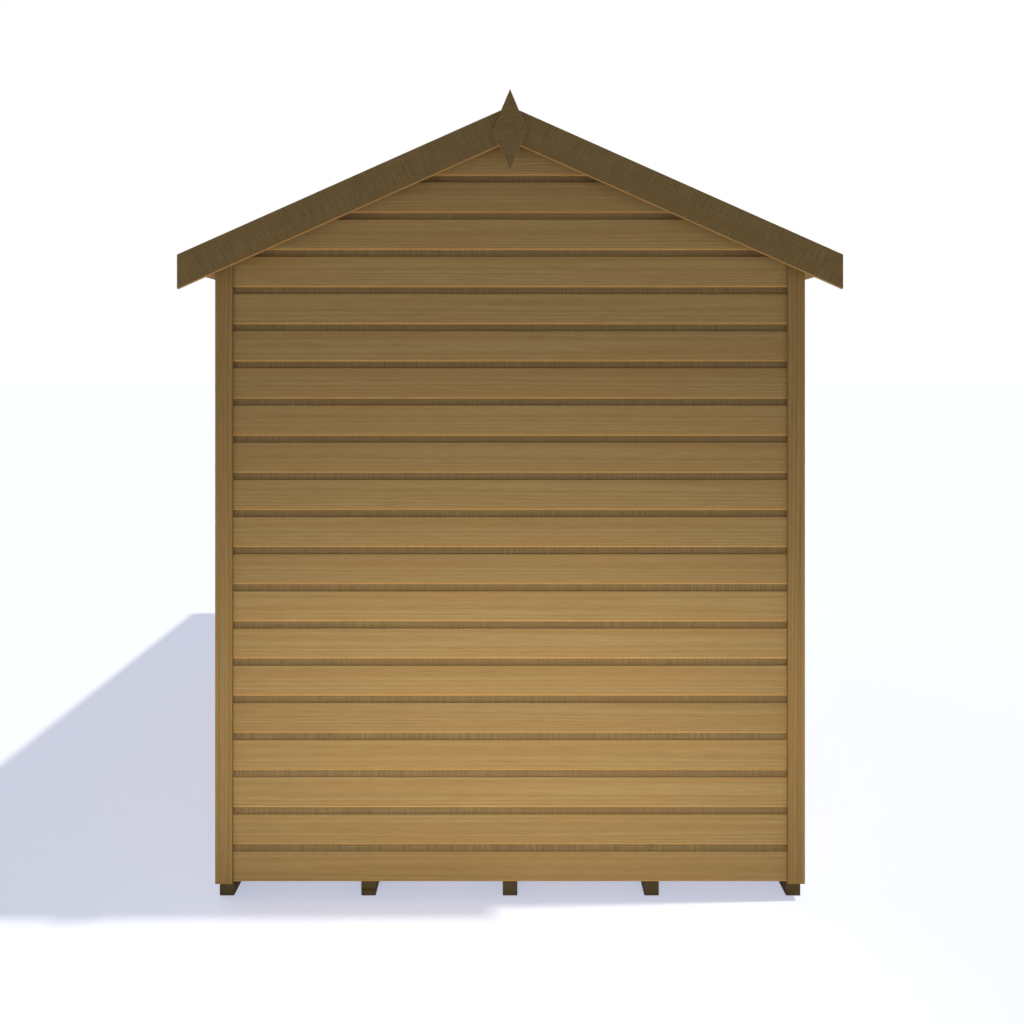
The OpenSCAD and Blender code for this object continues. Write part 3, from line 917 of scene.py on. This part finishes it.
def clout_row(side, x, depth):
    """A row of clout nails along the building, at a distance from the ridge."""
    facing = (side * math.sin(PITCH), 0, math.cos(PITCH))
    reach = ROOF_Y - CLOUT_END
    count = int(2 * reach / CLOUT_STEP)
    step = 2 * reach / count
    return [nail_head((side * x, -reach + k * step + dice.uniform(-6, 6) * MM,
                       roof_z(x, depth)), facing, CLOUT_R, CLOUT_PROUD)
            for k in range(count + 1)]


CAP_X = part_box("ridge_cap")[1].x
CAP_T = (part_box("ridge_cap")[1].z - RIDGE_Z) * math.cos(PITCH)
RIDGE_FOLD = 8 * MM                       # half the width of the fold's rounded top
lap = LAP_X * ROOF_X
clouts = []
for side_name, side in SIDES.items():
    lower = felt_strip([
        (lap - LAP_W, roof_z(lap - LAP_W, SHEET_T)), (lap, roof_z(lap, SHEET_T)),
        (lap + 3 * MM, roof_z(lap + 3 * MM)), (ROOF_X - 1 * MM, roof_z(ROOF_X - 1 * MM)),
        (ROOF_X, roof_z(ROOF_X) - 1 * MM), (ROOF_X, EAVE_Z), (BATTEN_X, EAVE_Z),
        (BATTEN_X, roof_z(BATTEN_X, FELT_T)), (lap - LAP_W, roof_z(lap - LAP_W, FELT_T)),
    ], side)
    upper = felt_strip([
        (0, roof_z(0)), (lap, roof_z(lap, -SHEET_T)), (lap, roof_z(lap, SHEET_T)),
        (lap - LAP_W, roof_z(lap - LAP_W, SHEET_T)), (lap - LAP_W, roof_z(lap - LAP_W, FELT_T)),
        (0, roof_z(0, FELT_T)),
    ], side)
    piece(f"{side_name}_felt_sheets", [lower, upper], [FELT],
          [f"{side_name}_roof_felt"])
    clouts += clout_row(side, lap - CLOUT_IN, -SHEET_T * 0.9)
    clouts += clout_row(side, CAP_X - CLOUT_IN, -CAP_T)
    for k in range(EAVES_CLOUTS):
        y = (k - EAVES_CLOUTS // 2) * CLOUT_STEP
        place = (side * ROOF_X, y, EAVE_Z + CLOUT_IN)
        clouts.append(nail_head(place, (side, 0, 0), CLOUT_R, CLOUT_PROUD))

cap = felt_strip([
    (-CAP_X, roof_z(CAP_X)), (0, RIDGE_Z), (CAP_X, roof_z(CAP_X)),
    (CAP_X, roof_z(CAP_X, -CAP_T)), (RIDGE_FOLD, roof_z(RIDGE_FOLD, -CAP_T)),
    (0, roof_z(3 * MM, -CAP_T)), (-RIDGE_FOLD, roof_z(RIDGE_FOLD, -CAP_T)),
    (-CAP_X, roof_z(CAP_X, -CAP_T)),
], 1)
piece("ridge_felt_strip", [cap], [FELT], ["ridge_cap"])
piece("felt_clout_nails", clouts, [ZINC])

# %% [markdown]
# ## Bearers and floor
# The floor is matchboard laid across five sawn bearers, whose ends show under the
# gables. Each board is a softened plank of its own, so the joints between them are
# real grooves and not lines drawn on a slab.

# %% Build the bearers and floor
bearer_count = sum(1 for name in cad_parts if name.startswith("bearer_"))
for k in range(1, bearer_count + 1):
    low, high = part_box(f"bearer_{k}")
    bm = board((low.x, high.x), (low.y, high.y), (low.z, high.z), "y", TIMBER_ARRIS + 0.3 * MM)
    piece(f"bearer_{k}_sawn", [bm], [BEARER], [f"bearer_{k}"])

FLOOR_BOARDS = 27
low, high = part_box("floor")
step = (high.y - low.y) / FLOOR_BOARDS
boards = [board((low.x, high.x), (low.y + k * step, low.y + (k + 1) * step - BOARD_GAP),
                (low.z, high.z), "x", 0.8 * MM) for k in range(FLOOR_BOARDS)]
piece("floor_matchboard", boards, [SPRUCE], ["floor"])

# %% [markdown]
# ## Wall framing
# The walls are framed with studs between a sole plate, a middle rail and a head
# plate, and the gables have a rafter on each slope. They're seen through the glass.
# The studs are cut to fit between the rails, as a joiner would, so that no two
# timbers fill the same space.

# %% Build the wall framing
RAIL_Z = 1000 * MM                        # lower edge of the middle rail
PLATE_Z = 1965 * MM                       # lower edge of the head plate
SOLE_Z = FLOOR_TOP + STUD_W               # top of the sole plate
BEARER_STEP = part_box("bearer_2")[0].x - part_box("bearer_1")[0].x


def side_studs(side, places, gaps):
    """Uprights in a side wall: one in each gap between rails, at each place."""
    return [plank((side * INNER_X, side * FRAME_X), (y - STUD_W / 2, y + STUD_W / 2), gap, "z")
            for y in places for gap in gaps]


def side_rails(side, spans, levels):
    """Level members in a side wall: one over each span, at each level."""
    return [plank((side * INNER_X, side * FRAME_X), span, (z, z + STUD_W), "y")
            for span in spans for z in levels]


def finish_frame(name, parts, slopes):
    """Saws a wall's timbers under the roof, softens them and joins them in one piece."""
    boards = [soften(cut_under_roof(bm, slopes), TIMBER_ARRIS) for bm in parts]
    piece(f"{name}_timbers", boards, [SPRUCE], [name])


whole = (-INNER_Y, INNER_Y)
end_stud = INNER_Y - STUD_W / 2
head_plate = (PLATE_Z, PLATE_Z + 1.5 * STUD_W)
left_parts = side_rails(-1, [whole], [FLOOR_TOP, RAIL_Z])
left_parts += side_studs(-1, [k * end_stud / 2 for k in range(-2, 3)],
                         [(SOLE_Z, RAIL_Z), (RAIL_Z + STUD_W, PLATE_Z)])
left_parts.append(plank((-INNER_X, -FRAME_X), whole, head_plate, "y"))
finish_frame("left_wall_frame", left_parts, (-1,))

beside = [(DOOR_HALF, INNER_Y), (-INNER_Y, -DOOR_HALF)]
sill_z = WINDOW_LO.z - STUD_W
stud_places = [DOOR_HALF + STUD_W / 2, WINDOW_LO.y - STUD_W / 2, WINDOW_HI.y + STUD_W / 2,
               end_stud]
right_parts = side_rails(1, beside, [FLOOR_TOP, sill_z]) + side_rails(1, [whole], [HEAD_Z])
right_parts += side_studs(1, [sign * y for sign in (-1, 1) for y in stud_places],
                          [(SOLE_Z, sill_z), (WINDOW_LO.z, HEAD_Z), (HEAD_Z + STUD_W, PLATE_Z)])
right_parts.append(plank((INNER_X, FRAME_X), whole, head_plate, "y"))
finish_frame("right_wall_frame", right_parts, (1,))

for end_name, end in ENDS.items():
    y = (end * INNER_Y, end * FRAME_Y)
    inside = FRAME_X - STUD_W
    parts = [plank((side * inside, side * FRAME_X), y, (FLOOR_TOP, RIDGE_Z), "z")
             for side in (-1, 1)]
    for part in parts:
        cut_under_roof(part, (-1, 1))
    parts += [plank((-inside, inside), y, (z, z + STUD_W), "x")
              for z in (FLOOR_TOP, RAIL_Z, PLATE_Z)]
    for gap in ((SOLE_Z, RAIL_Z), (RAIL_Z + STUD_W, PLATE_Z), (PLATE_Z + STUD_W, RIDGE_Z)):
        for x in (-BEARER_STEP, 0, BEARER_STEP):
            bm = plank((x - STUD_W / 2, x + STUD_W / 2), y, gap, "z")
            parts.append(cut_under_roof(bm, (-1, 1), COVER_T + STUD_W))
    for side in (-1, 1):
        ys = (side * y[0], side * y[1])
        bm = plank((-SPARE, SLOPE_L), ys, (-COVER_T - STUD_W, -COVER_T), "x")
        parts.append(cut_plumb(lay_on_slope(bm, side), side, 0, inside))
    finish_frame(f"{end_name}_gable_frame", parts, ())

# %% [markdown]
# ## The door frame and its trims
# The frame is two jambs and a head with a thin stop behind the doors, over a sill
# whose nose sticks out to throw off the rain. Flat trims cover the joint between the
# frame and the cladding, and the head trim lies across the tops of the side ones.

# %% Build the door frame and trims
frame_lo, frame_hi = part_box("door_frame")
trim_lo, trim_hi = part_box("door_trim")
leaf_lo, leaf_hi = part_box("back_door_leaf")
glass_lo, glass_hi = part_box("door_glass")
JAMB_W = 32 * MM
STOP_W = 15 * MM
NOSE_ARRIS = 3 * MM
TRIM_LAP = 12 * MM                        # how far a cover trim laps onto its frame
JAMB_Y = DOOR_HALF - JAMB_W
SILL_Z = trim_lo.z                        # top of the sill
COVER_W = trim_hi.y - DOOR_HALF + TRIM_LAP   # width of a cover trim
lintel_z = HEAD_Z - JAMB_W
depth_x = (INNER_X, CLAD_X)
stop_x = (INNER_X, leaf_lo.x)
opening = (-DOOR_HALF, DOOR_HALF)


def surround(span, low, high):
    """Two upright cover trims, and one across their tops."""
    x = (CLAD_X, trim_hi.x)
    sides = [board(x, (edge, edge + inward * COVER_W), (low, high - COVER_W), "z")
             for edge, inward in zip(span, (1, -1))]
    return sides + [board(x, span, (high - COVER_W, high), "y")]


parts = []
for sign in (-1, 1):
    stop_y = (sign * (JAMB_Y - STOP_W), sign * JAMB_Y)
    parts += [board(depth_x, (sign * JAMB_Y, sign * DOOR_HALF), (SILL_Z, HEAD_Z), "z"),
              board(stop_x, stop_y, (SILL_Z, lintel_z), "z")]
parts += [
    board(depth_x, (-JAMB_Y, JAMB_Y), (lintel_z, HEAD_Z), "y"),
    board(stop_x, (STOP_W - JAMB_Y, JAMB_Y - STOP_W), (lintel_z - STOP_W, lintel_z), "y"),
    board(depth_x, opening, (FLOOR_TOP, SILL_Z), "y"),
    plank((FRAME_X, CLAD_X), opening, (frame_lo.z, FLOOR_TOP), "y"),
    board((CLAD_X, frame_hi.x), (frame_lo.y, frame_hi.y), (frame_lo.z, SILL_Z), "y", NOSE_ARRIS),
]
piece("door_frame_joinery", parts, [TRIM], ["door_frame"])
piece("door_surround", surround((trim_lo.y, trim_hi.y), trim_lo.z, trim_hi.z), [TRIM],
      ["door_trim"])

# %% [markdown]
# ## The door leaves
# Each leaf is a frame of stiles and rails. Below the middle rail it holds upright
# matchboard with V-grooves, and above it a pane of glass. Beads hold the glass from
# both sides, and thin glazing bars divide it in six. The leaf nearer the front
# carries a cover strip over the gap where the pair meets. The joints between stiles
# and rails show as fine lines because each part has its own arris.

# %% Build the leaves
STILE_W = leaf_hi.y - glass_hi.y
BOTTOM_RAIL = 110 * MM
MIDDLE_RAIL = 80 * MM
BEAD = 10 * MM                            # width of a bead
BEAD_ARRIS = 2.5 * MM
BEAD_DEPTH = 12 * MM                      # how far beads and bars stand off the glass
BAR_W = 18 * MM
PANEL_BOARDS = 4
PANEL_PROUD = 4 * MM                      # how far the matchboard passes the glass
PANEL_BEAD = 8 * MM                       # depth of the bead around the matchboard
COLUMNS, ROWS = 2, 3                      # panes in each door and window


def glazing(y, z, faces, columns, rows):
    """Beads around a pane and bars across it, on each face given as (glass, outer) x."""
    y0, y1 = min(y), max(y)
    z0, z1 = z
    column = (y1 - y0) / columns
    inner_y, inner_z = (y0 + BEAD, y1 - BEAD), (z0 + BEAD, z1 - BEAD)
    strips = [((y0, inner_y[0]), z, "z"), ((inner_y[1], y1), z, "z"),
              (inner_y, (z0, inner_z[0]), "y"), (inner_y, (inner_z[1], z1), "y")]
    for k in range(1, columns):
        middle = y0 + k * column
        strips.append(((middle - BAR_W / 2, middle + BAR_W / 2), inner_z, "z"))
    for k in range(1, rows):
        level = z0 + k * (z1 - z0) / rows
        for c in range(columns):
            left = y0 + c * column + (BAR_W / 2 if c else BEAD)
            right = y0 + (c + 1) * column - (BAR_W / 2 if c < columns - 1 else BEAD)
            strips.append(((left, right), (level - BAR_W / 2, level + BAR_W / 2), "y"))
    return [board(x, span, height, along, BEAD_ARRIS)
            for x in faces for span, height, along in strips]


leaf_x = (leaf_lo.x, CLAD_X)
pane_faces = [(glass_hi.x, glass_hi.x + BEAD_DEPTH), (glass_lo.x, glass_lo.x - BEAD_DEPTH)]
for end_name, end in ENDS.items():
    inner, outer = end * leaf_lo.y, end * leaf_hi.y
    field = (inner + end * STILE_W, outer - end * STILE_W)
    parts = [board(leaf_x, (inner, field[0]), (leaf_lo.z, leaf_hi.z), "z"),
             board(leaf_x, (field[1], outer), (leaf_lo.z, leaf_hi.z), "z")]
    rails = [(leaf_lo.z, leaf_lo.z + BOTTOM_RAIL), (glass_lo.z - MIDDLE_RAIL, glass_lo.z),
             (glass_hi.z, leaf_hi.z)]
    parts += [board(leaf_x, field, rail, "y") for rail in rails]
    panel_z = (rails[0][1], rails[1][0])
    panel_x = (glass_lo.x - PANEL_PROUD, glass_hi.x + PANEL_PROUD)
    step = (max(field) - min(field)) / PANEL_BOARDS
    for k in range(PANEL_BOARDS):
        span = (min(field) + k * step, min(field) + (k + 1) * step - BOARD_GAP)
        parts.append(board(panel_x, span, panel_z, "z", BEAD_ARRIS))
    parts += glazing(field, (glass_lo.z, glass_hi.z), pane_faces, COLUMNS, ROWS)
    parts += glazing(field, panel_z, [(panel_x[1], panel_x[1] + PANEL_BEAD)], 1, 1)
    if end < 0:
        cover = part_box("front_door_leaf")[1]
        parts.append(board((CLAD_X, cover.x), (-cover.y, cover.y), (leaf_lo.z, leaf_hi.z), "z",
                           NOSE_ARRIS))
    piece(f"{end_name}_door_joinery", parts, [TRIM], [f"{end_name}_door_leaf"])

# %% [markdown]
# ## The windows
# Each fixed window is a frame with the same beads and bars as the doors, trims that
# cover its joint with the cladding, and a sill. The sill's top is planed to a slope
# so that water runs off, which is one bisect cut.

# %% Build the window frames, trims and sills
surround_lo, surround_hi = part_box("window_trims")
pane_lo, pane_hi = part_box("window_glass")
SILL_H = 22 * MM
SILL_TOP = WINDOW_LO.z + TRIM_LAP
SILL_FALL = math.radians(8)
reach = surround_hi.y - WINDOW_HI.y       # how far the surround passes the window
surrounds = []
for end_name, end in ENDS.items():
    y0, y1 = sorted((end * WINDOW_LO.y, end * WINDOW_HI.y))
    z0, z1 = WINDOW_LO.z, WINDOW_HI.z
    parts = [board(depth_x, (y0, y0 + JAMB_W), (z0, z1), "z"),
             board(depth_x, (y1 - JAMB_W, y1), (z0, z1), "z")]
    parts += [board(depth_x, (y0 + JAMB_W, y1 - JAMB_W), z, "y")
              for z in ((z0, z0 + JAMB_W), (z1 - JAMB_W, z1))]
    pane_y = (y0 + JAMB_W, y1 - JAMB_W)
    parts += glazing(pane_y, (pane_lo.z, pane_hi.z), pane_faces, COLUMNS, ROWS)
    piece(f"{end_name}_window_joinery", parts, [TRIM],
          [f"{end_name}_window_frame"])

    span = (y0 - reach, y1 + reach)
    surrounds += surround(span, SILL_TOP, surround_hi.z)
    sill_z = (surround_lo.z, SILL_TOP - SILL_H)
    surrounds.append(board((CLAD_X, trim_hi.x), span, sill_z, "y"))
    sill = plank((CLAD_X, surround_hi.x), span, (SILL_TOP - SILL_H, SILL_TOP), "y")
    cut(sill, (trim_hi.x, 0, SILL_TOP), (math.sin(SILL_FALL), 0, math.cos(SILL_FALL)))
    surrounds.append(soften(sill, TIMBER_ARRIS))
piece("window_surrounds", surrounds, [TRIM], ["window_trims"])

# %% [markdown]
# ## Glass
# The panes are right as they come from the frame: flat sheets, 4 mm thick. They
# only need their finish, which goes in the object's material slots.

# %% Finish the panes
for name in ("door_glass", "window_glass"):
    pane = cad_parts[name]
    pane.data.materials.clear()
    pane.data.materials.append(GLASS)
    print(name, "finish", pane.data.materials[0].name)

# %% [markdown]
# ## Hinges and screws
# Three hinges carry each leaf. A hinge is two plates with a barrel of five knuckles
# between them, and countersunk screws whose slots are cut into the heads: the head
# is sliced twice beside its middle, and the strip between the slices is pushed in.

# %% Build the hinges
SLOT_HALF = 0.5 * MM                      # half the width of a screw's slot
SLOT_D = 0.5 * MM


def screw_head(place, facing, radius=4 * MM, proud=0.7 * MM, turned=0.0):
    """A countersunk head with a slot across it, turned by some degrees."""
    bm = start()
    bmesh.ops.create_cone(bm, cap_ends=True, segments=16, radius1=radius,
                          radius2=0.75 * radius, depth=2 * proud)
    for level in (-SLOT_HALF, SLOT_HALF):
        slice_at(bm, 1, level)
    bm.normal_update()
    strip = [face for face in bm.faces if face.normal.z > 0.9
             and abs(face.calc_center_median().y) < SLOT_HALF / 2]
    extrude(bm, strip, (0, 0, -SLOT_D))
    bmesh.ops.delete(bm, geom=strip, context="FACES_ONLY")
    bmesh.ops.recalc_face_normals(bm, faces=bm.faces[:])
    turn(bm, turned)
    return aim(bm, facing, place)


def upright_rod(x, y, z, radius, segments=24, rim=0.4 * MM):
    """An upright cylinder between two heights, its rims slightly rounded."""
    bm = start()
    bmesh.ops.create_cone(bm, cap_ends=True, segments=segments, radius1=radius,
                          radius2=radius, depth=z[1] - z[0])
    bmesh.ops.translate(bm, verts=bm.verts, vec=(x, y, (z[0] + z[1]) / 2))
    rims = [edge for edge in bm.edges if abs(edge.verts[0].co.z - edge.verts[1].co.z) < rim]
    return soften(bm, rim, rims)


hinge_lo, hinge_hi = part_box("door_hinges")
HINGE_H = 70 * MM
HINGE_T = 2 * MM
HINGE_ARRIS = 0.5 * MM
KNUCKLE_PLAY = 0.2 * MM                   # at each end of a knuckle
SCREW_R, SCREW_PROUD = 3.4 * MM, 0.4 * MM
SCREW_LEVELS = (0.16, 0.5, 0.84)          # shares of the hinge's height
BARREL_R = hinge_hi.x - CLAD_X - HINGE_T
KNUCKLES = 5
BARREL_Y = (leaf_hi.y + JAMB_Y) / 2
LEAF_PLATE = 36 * MM
bottom_hinge = hinge_lo.z
top_hinge = hinge_hi.z - HINGE_H
parts = []
for end in ENDS.values():
    for low in (bottom_hinge, (bottom_hinge + top_hinge) / 2, top_hinge):
        x = (CLAD_X, CLAD_X + HINGE_T)
        z = (low, low + HINGE_H)
        plates = [(end * (leaf_hi.y - LEAF_PLATE), end * leaf_hi.y),
                  (end * JAMB_Y, end * hinge_hi.y)]
        parts += [board(x, plate, z, "z", HINGE_ARRIS) for plate in plates]
        step = HINGE_H / KNUCKLES
        for k in range(KNUCKLES):
            span = (low + k * step + KNUCKLE_PLAY, low + (k + 1) * step - KNUCKLE_PLAY)
            parts.append(upright_rod(CLAD_X + HINGE_T, end * BARREL_Y, span, BARREL_R))
        for k, level in enumerate(SCREW_LEVELS):
            height = low + level * HINGE_H
            leaf_y = end * (leaf_hi.y - LEAF_PLATE + (11 if k == 1 else 20) * MM)
            jamb_y = end * (hinge_hi.y - 8 * MM)
            for y in (leaf_y, jamb_y):
                parts.append(screw_head((CLAD_X + HINGE_T, y, height), (1, 0, 0),
                                        SCREW_R, SCREW_PROUD, dice.uniform(0, 180)))
piece("hinge_ironwork", parts, [IRON], ["door_hinges"])

# %% [markdown]
# ## The lever handle
# A real lever is forged from one bar. Here a circle is extruded for the neck, spun a
# quarter turn for the bend, and extruded again for the grip, so its section stays
# round all the way. A curve with a round bevel would do too, but then its end would
# need its own cap. The plate has rounded corners and a screw at each end.

# %% Build the handle
handle_lo, handle_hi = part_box("door_handle")
PLATE_T = 3 * MM
PLATE_W = 32 * MM
PLATE_CORNER = 8 * MM                     # radius of the plate's corners
PLATE_SCREW = 12 * MM                     # from the plate's end to a screw
ROSE_T = 4 * MM                           # thickness of the round boss behind the lever
LEVER_R = 7 * MM
LEVER_SIDES = 24
BEND_R = 13 * MM
plate_y = (handle_hi.y - PLATE_W, handle_hi.y)
handle_y = sum(plate_y) / 2
handle_z = (handle_lo.z + handle_hi.z) / 2
bend_x = handle_hi.x - 8 * MM - BEND_R    # where the neck ends and the bend begins

plate = plank((CLAD_X, CLAD_X + PLATE_T), plate_y, (handle_lo.z, handle_hi.z), "z")
corners = [edge for edge in plate.edges
           if abs(edge.verts[0].co.x - edge.verts[1].co.x) > PLATE_T / 2]
soften(plate, PLATE_CORNER, corners, 4)
fronts = [edge for edge in plate.edges
          if all(vert.co.x > CLAD_X + PLATE_T / 2 for vert in edge.verts)]
soften(plate, 0.8 * MM, fronts)

lever = start()
bmesh.ops.create_circle(lever, cap_ends=True, radius=LEVER_R, segments=LEVER_SIDES)
neck_x = CLAD_X + PLATE_T / 2
aim(lever, (1, 0, 0), (neck_x, handle_y, handle_z))
tip = extrude(lever, lever.faces[:], (bend_x - neck_x, 0, 0))
bend = bmesh.ops.spin(
    lever, geom=tip, cent=(bend_x, handle_y - BEND_R, handle_z), axis=(0, 0, -1),
    angle=math.radians(90), steps=8, use_merge=False, use_duplicate=False,
)
tip = [item for item in bend["geom_last"] if isinstance(item, bmesh.types.BMFace)]
tip = extrude(lever, tip, (0, handle_lo.y + BEND_R - handle_y, 0))
caps = [face for face in lever.faces if len(face.verts) == LEVER_SIDES and face not in tip]
root = min(caps, key=lambda face: face.calc_center_median().x)
inside = [face for face in caps if face is not root]   # left where an extrusion began
bmesh.ops.delete(lever, geom=inside, context="FACES_ONLY")
bmesh.ops.remove_doubles(lever, verts=lever.verts, dist=0.01 * MM)
soften(lever, 3 * MM, list({edge for face in tip for edge in face.edges}), 3)
bmesh.ops.recalc_face_normals(lever, faces=lever.faces[:])

rose = start()
bmesh.ops.create_cone(rose, cap_ends=True, segments=32, radius1=13 * MM, radius2=11 * MM,
                      depth=ROSE_T)
aim(rose, (1, 0, 0), (CLAD_X + PLATE_T + ROSE_T / 2, handle_y, handle_z))
parts = [plate, lever, rose]
for z in (handle_lo.z + PLATE_SCREW, handle_hi.z - PLATE_SCREW):
    place = (CLAD_X + PLATE_T, handle_y, z)
    parts.append(screw_head(place, (1, 0, 0), turned=dice.uniform(0, 180)))
piece("lever_handle", parts, [IRON], ["door_handle"], crease=32)

# %% [markdown]
# ## Nails in the joinery
# Trims around the doors and windows are pinned every 250 mm or so, like the corner
# boards.

# %% Pin the trims
def pins_along(count, first, step):
    """Places of a row of pins, in metres along a trim."""
    return [(first + step * k) * MM for k in range(count)]


SIDE_PINS = pins_along(7, 100, 260)       # up the sides of the doors' surround
HEAD_PINS = pins_along(3, 100, 230)       # from the middle of its head outwards
WINDOW_PINS = pins_along(4, 60, 230)      # up the sides of a window's surround
places = []
for sign in (-1, 1):
    places += [(sign * (trim_hi.y - COVER_W / 2), trim_lo.z + up) for up in SIDE_PINS]
    places += [(sign * out, trim_hi.z - COVER_W / 2) for out in HEAD_PINS]
    for edge in (surround_hi.y - COVER_W / 2, WINDOW_LO.y - reach + COVER_W / 2):
        places += [(sign * edge, SILL_TOP + up) for up in WINDOW_PINS]
pins = [nail_head((trim_hi.x, y, z), (1, 0, 0)) for y, z in places]
piece("trim_pins", pins, [ZINC])
print(totals)

# %% [markdown]
# ## The floor of the studio
# A very large matt white floor stands for any plain ground. It isn't part of the
# building. What the camera, mirrors and glass see of it is lifted by a glow, so that
# it meets the white sky with hardly an edge and still keeps the building's shadow.

# %% Lay the floor
FLOOR_HALF = 60                           # metres from the middle to each edge


def seen_directly(tree):
    """1 for what the camera, mirrors and glass see, 0 for what only gives light."""
    path = add(tree, "ShaderNodeLightPath")
    seen = add(tree, "ShaderNodeMath", {0: path.outputs["Is Camera Ray"],
                                        1: path.outputs["Is Glossy Ray"]}, operation="ADD")
    return add(tree, "ShaderNodeMath", {0: seen.outputs[0],
                                        1: path.outputs["Is Transmission Ray"]},
               operation="ADD", use_clamp=True).outputs[0]


def matt_white_floor():
    """Matt white paint on a studio floor, with a slight cool glow for the camera only."""
    made, tree = new_finish("matt_white_floor")
    matt = add(tree, "ShaderNodeBsdfDiffuse", {"Color": (0.85, 0.85, 0.85, 1)})
    lift = add(tree, "ShaderNodeEmission", {"Color": (0.72, 0.78, 1.0, 1), "Strength": 0.57})
    none = add(tree, "ShaderNodeEmission", {"Strength": 0.0})
    lifted = add(tree, "ShaderNodeMixShader", {0: seen_directly(tree), 1: none.outputs[0],
                                               2: lift.outputs[0]})
    shown = add(tree, "ShaderNodeAddShader", {0: matt.outputs[0], 1: lifted.outputs[0]})
    add(tree, "ShaderNodeOutputMaterial", {"Surface": shown.outputs[0]})
    return made


bm = bmesh.new()
bmesh.ops.create_grid(bm, x_segments=1, y_segments=1, size=FLOOR_HALF)
ground_mesh = bpy.data.meshes.new("studio_floor")
bm.to_mesh(ground_mesh)
bm.free()
ground_mesh.materials.append(matt_white_floor())
ground = put_in_scene("studio_floor", ground_mesh)
print("floor", 2 * FLOOR_HALF, "m across")

# %% [markdown]
# ## Light
# One sun stands to the right, high up and very slightly behind, so the building's
# shadow falls to the left and the front is lit by the pale floor and the soft sky.
# A long, low strip lamp before the gable adds to what the floor throws upwards,
# which makes the lips of the boards bright and the coves dark. A broad, weak fill
# from behind and left keeps the shaded sides from going dull. What the camera,
# mirrors and glass see of the sky is plain white.

# %% Hang the lamps and the sky
SUN_LEAN = (-0.55, -0.02, -1)             # the way each lamp's light travels
FILL_LEAN = (0.7, -0.6, -0.3)
STRIP_TILT = math.radians(15)             # upwards from the level
STRIP_BACK = 1.3                          # from the face of the gable
STRIP_Z = 0.28


def hang(name, kind, energy, colour, **settings):
    """A lamp of one kind at the origin, with its settings."""
    lamp = bpy.data.lights.new(name, kind)
    lamp.energy = energy
    lamp.color = colour
    for key, value in settings.items():
        setattr(lamp, key, value)
    return put_in_scene(name, lamp)


def shine(lamp, direction):
    """Turns a lamp so that its light travels in a direction."""
    lamp.rotation_euler = Vector(direction).to_track_quat("-Z", "Y").to_euler()


shine(hang("sun", "SUN", 1.62, (1, 1, 1), angle=math.radians(1.5)), SUN_LEAN)
shine(hang("back_fill", "SUN", 0.7, (1.0, 0.98, 0.95), angle=math.radians(80)), FILL_LEAN)
low_strip = hang("low_strip", "AREA", 5.4, (1.0, 0.97, 0.92), shape="RECTANGLE",
                 size=2.2, size_y=0.3, spread=math.radians(96))
low_strip.location = (0, -CLAD_Y - STRIP_BACK, STRIP_Z)
low_strip.rotation_euler = (math.radians(90) + STRIP_TILT, 0, 0)
low_strip.visible_camera = False
low_strip.visible_glossy = False

world = bpy.data.worlds.new("studio_sky")
bpy.context.scene.world = world
world.use_nodes = True
sky = world.node_tree
sky.nodes.clear()
soft = add(sky, "ShaderNodeBackground", {"Color": (0.90, 0.95, 1.0, 1), "Strength": 0.15})
white = add(sky, "ShaderNodeBackground", {"Color": (1, 1, 1, 1), "Strength": 1.0})
mixed = add(sky, "ShaderNodeMixShader", {0: seen_directly(sky), 1: soft.outputs[0],
                                         2: white.outputs[0]})
add(sky, "ShaderNodeOutputWorld", {"Surface": mixed.outputs[0]})
print("lamps", sorted(lamp.name for lamp in bpy.data.lights if lamp.users))

# %% [markdown]
# ## Camera
# The camera stands square to the front gable at eye level, and looks dead level, so
# the uprights stay parallel. A shift of the lens, and not a tilt, brings the ground
# into view.

# %% Set the camera
EYE_Z = 1.6415
EYE_BACK = 2.640                          # from the face of the front corner trims
camera = bpy.data.cameras.new("camera")
camera.lens = 30.43
camera.sensor_width = 36
camera.shift_x = 0.0019
camera.shift_y = -0.146
camera_object = put_in_scene("camera", camera)
camera_object.location = (0, -TRIM_Y - EYE_BACK, EYE_Z)
camera_object.rotation_euler = (math.radians(90), 0, 0)
bpy.context.scene.camera = camera_object
bpy.context.scene.view_settings.view_transform = "Standard"
print("camera at", [round(value, 3) for value in camera_object.location])
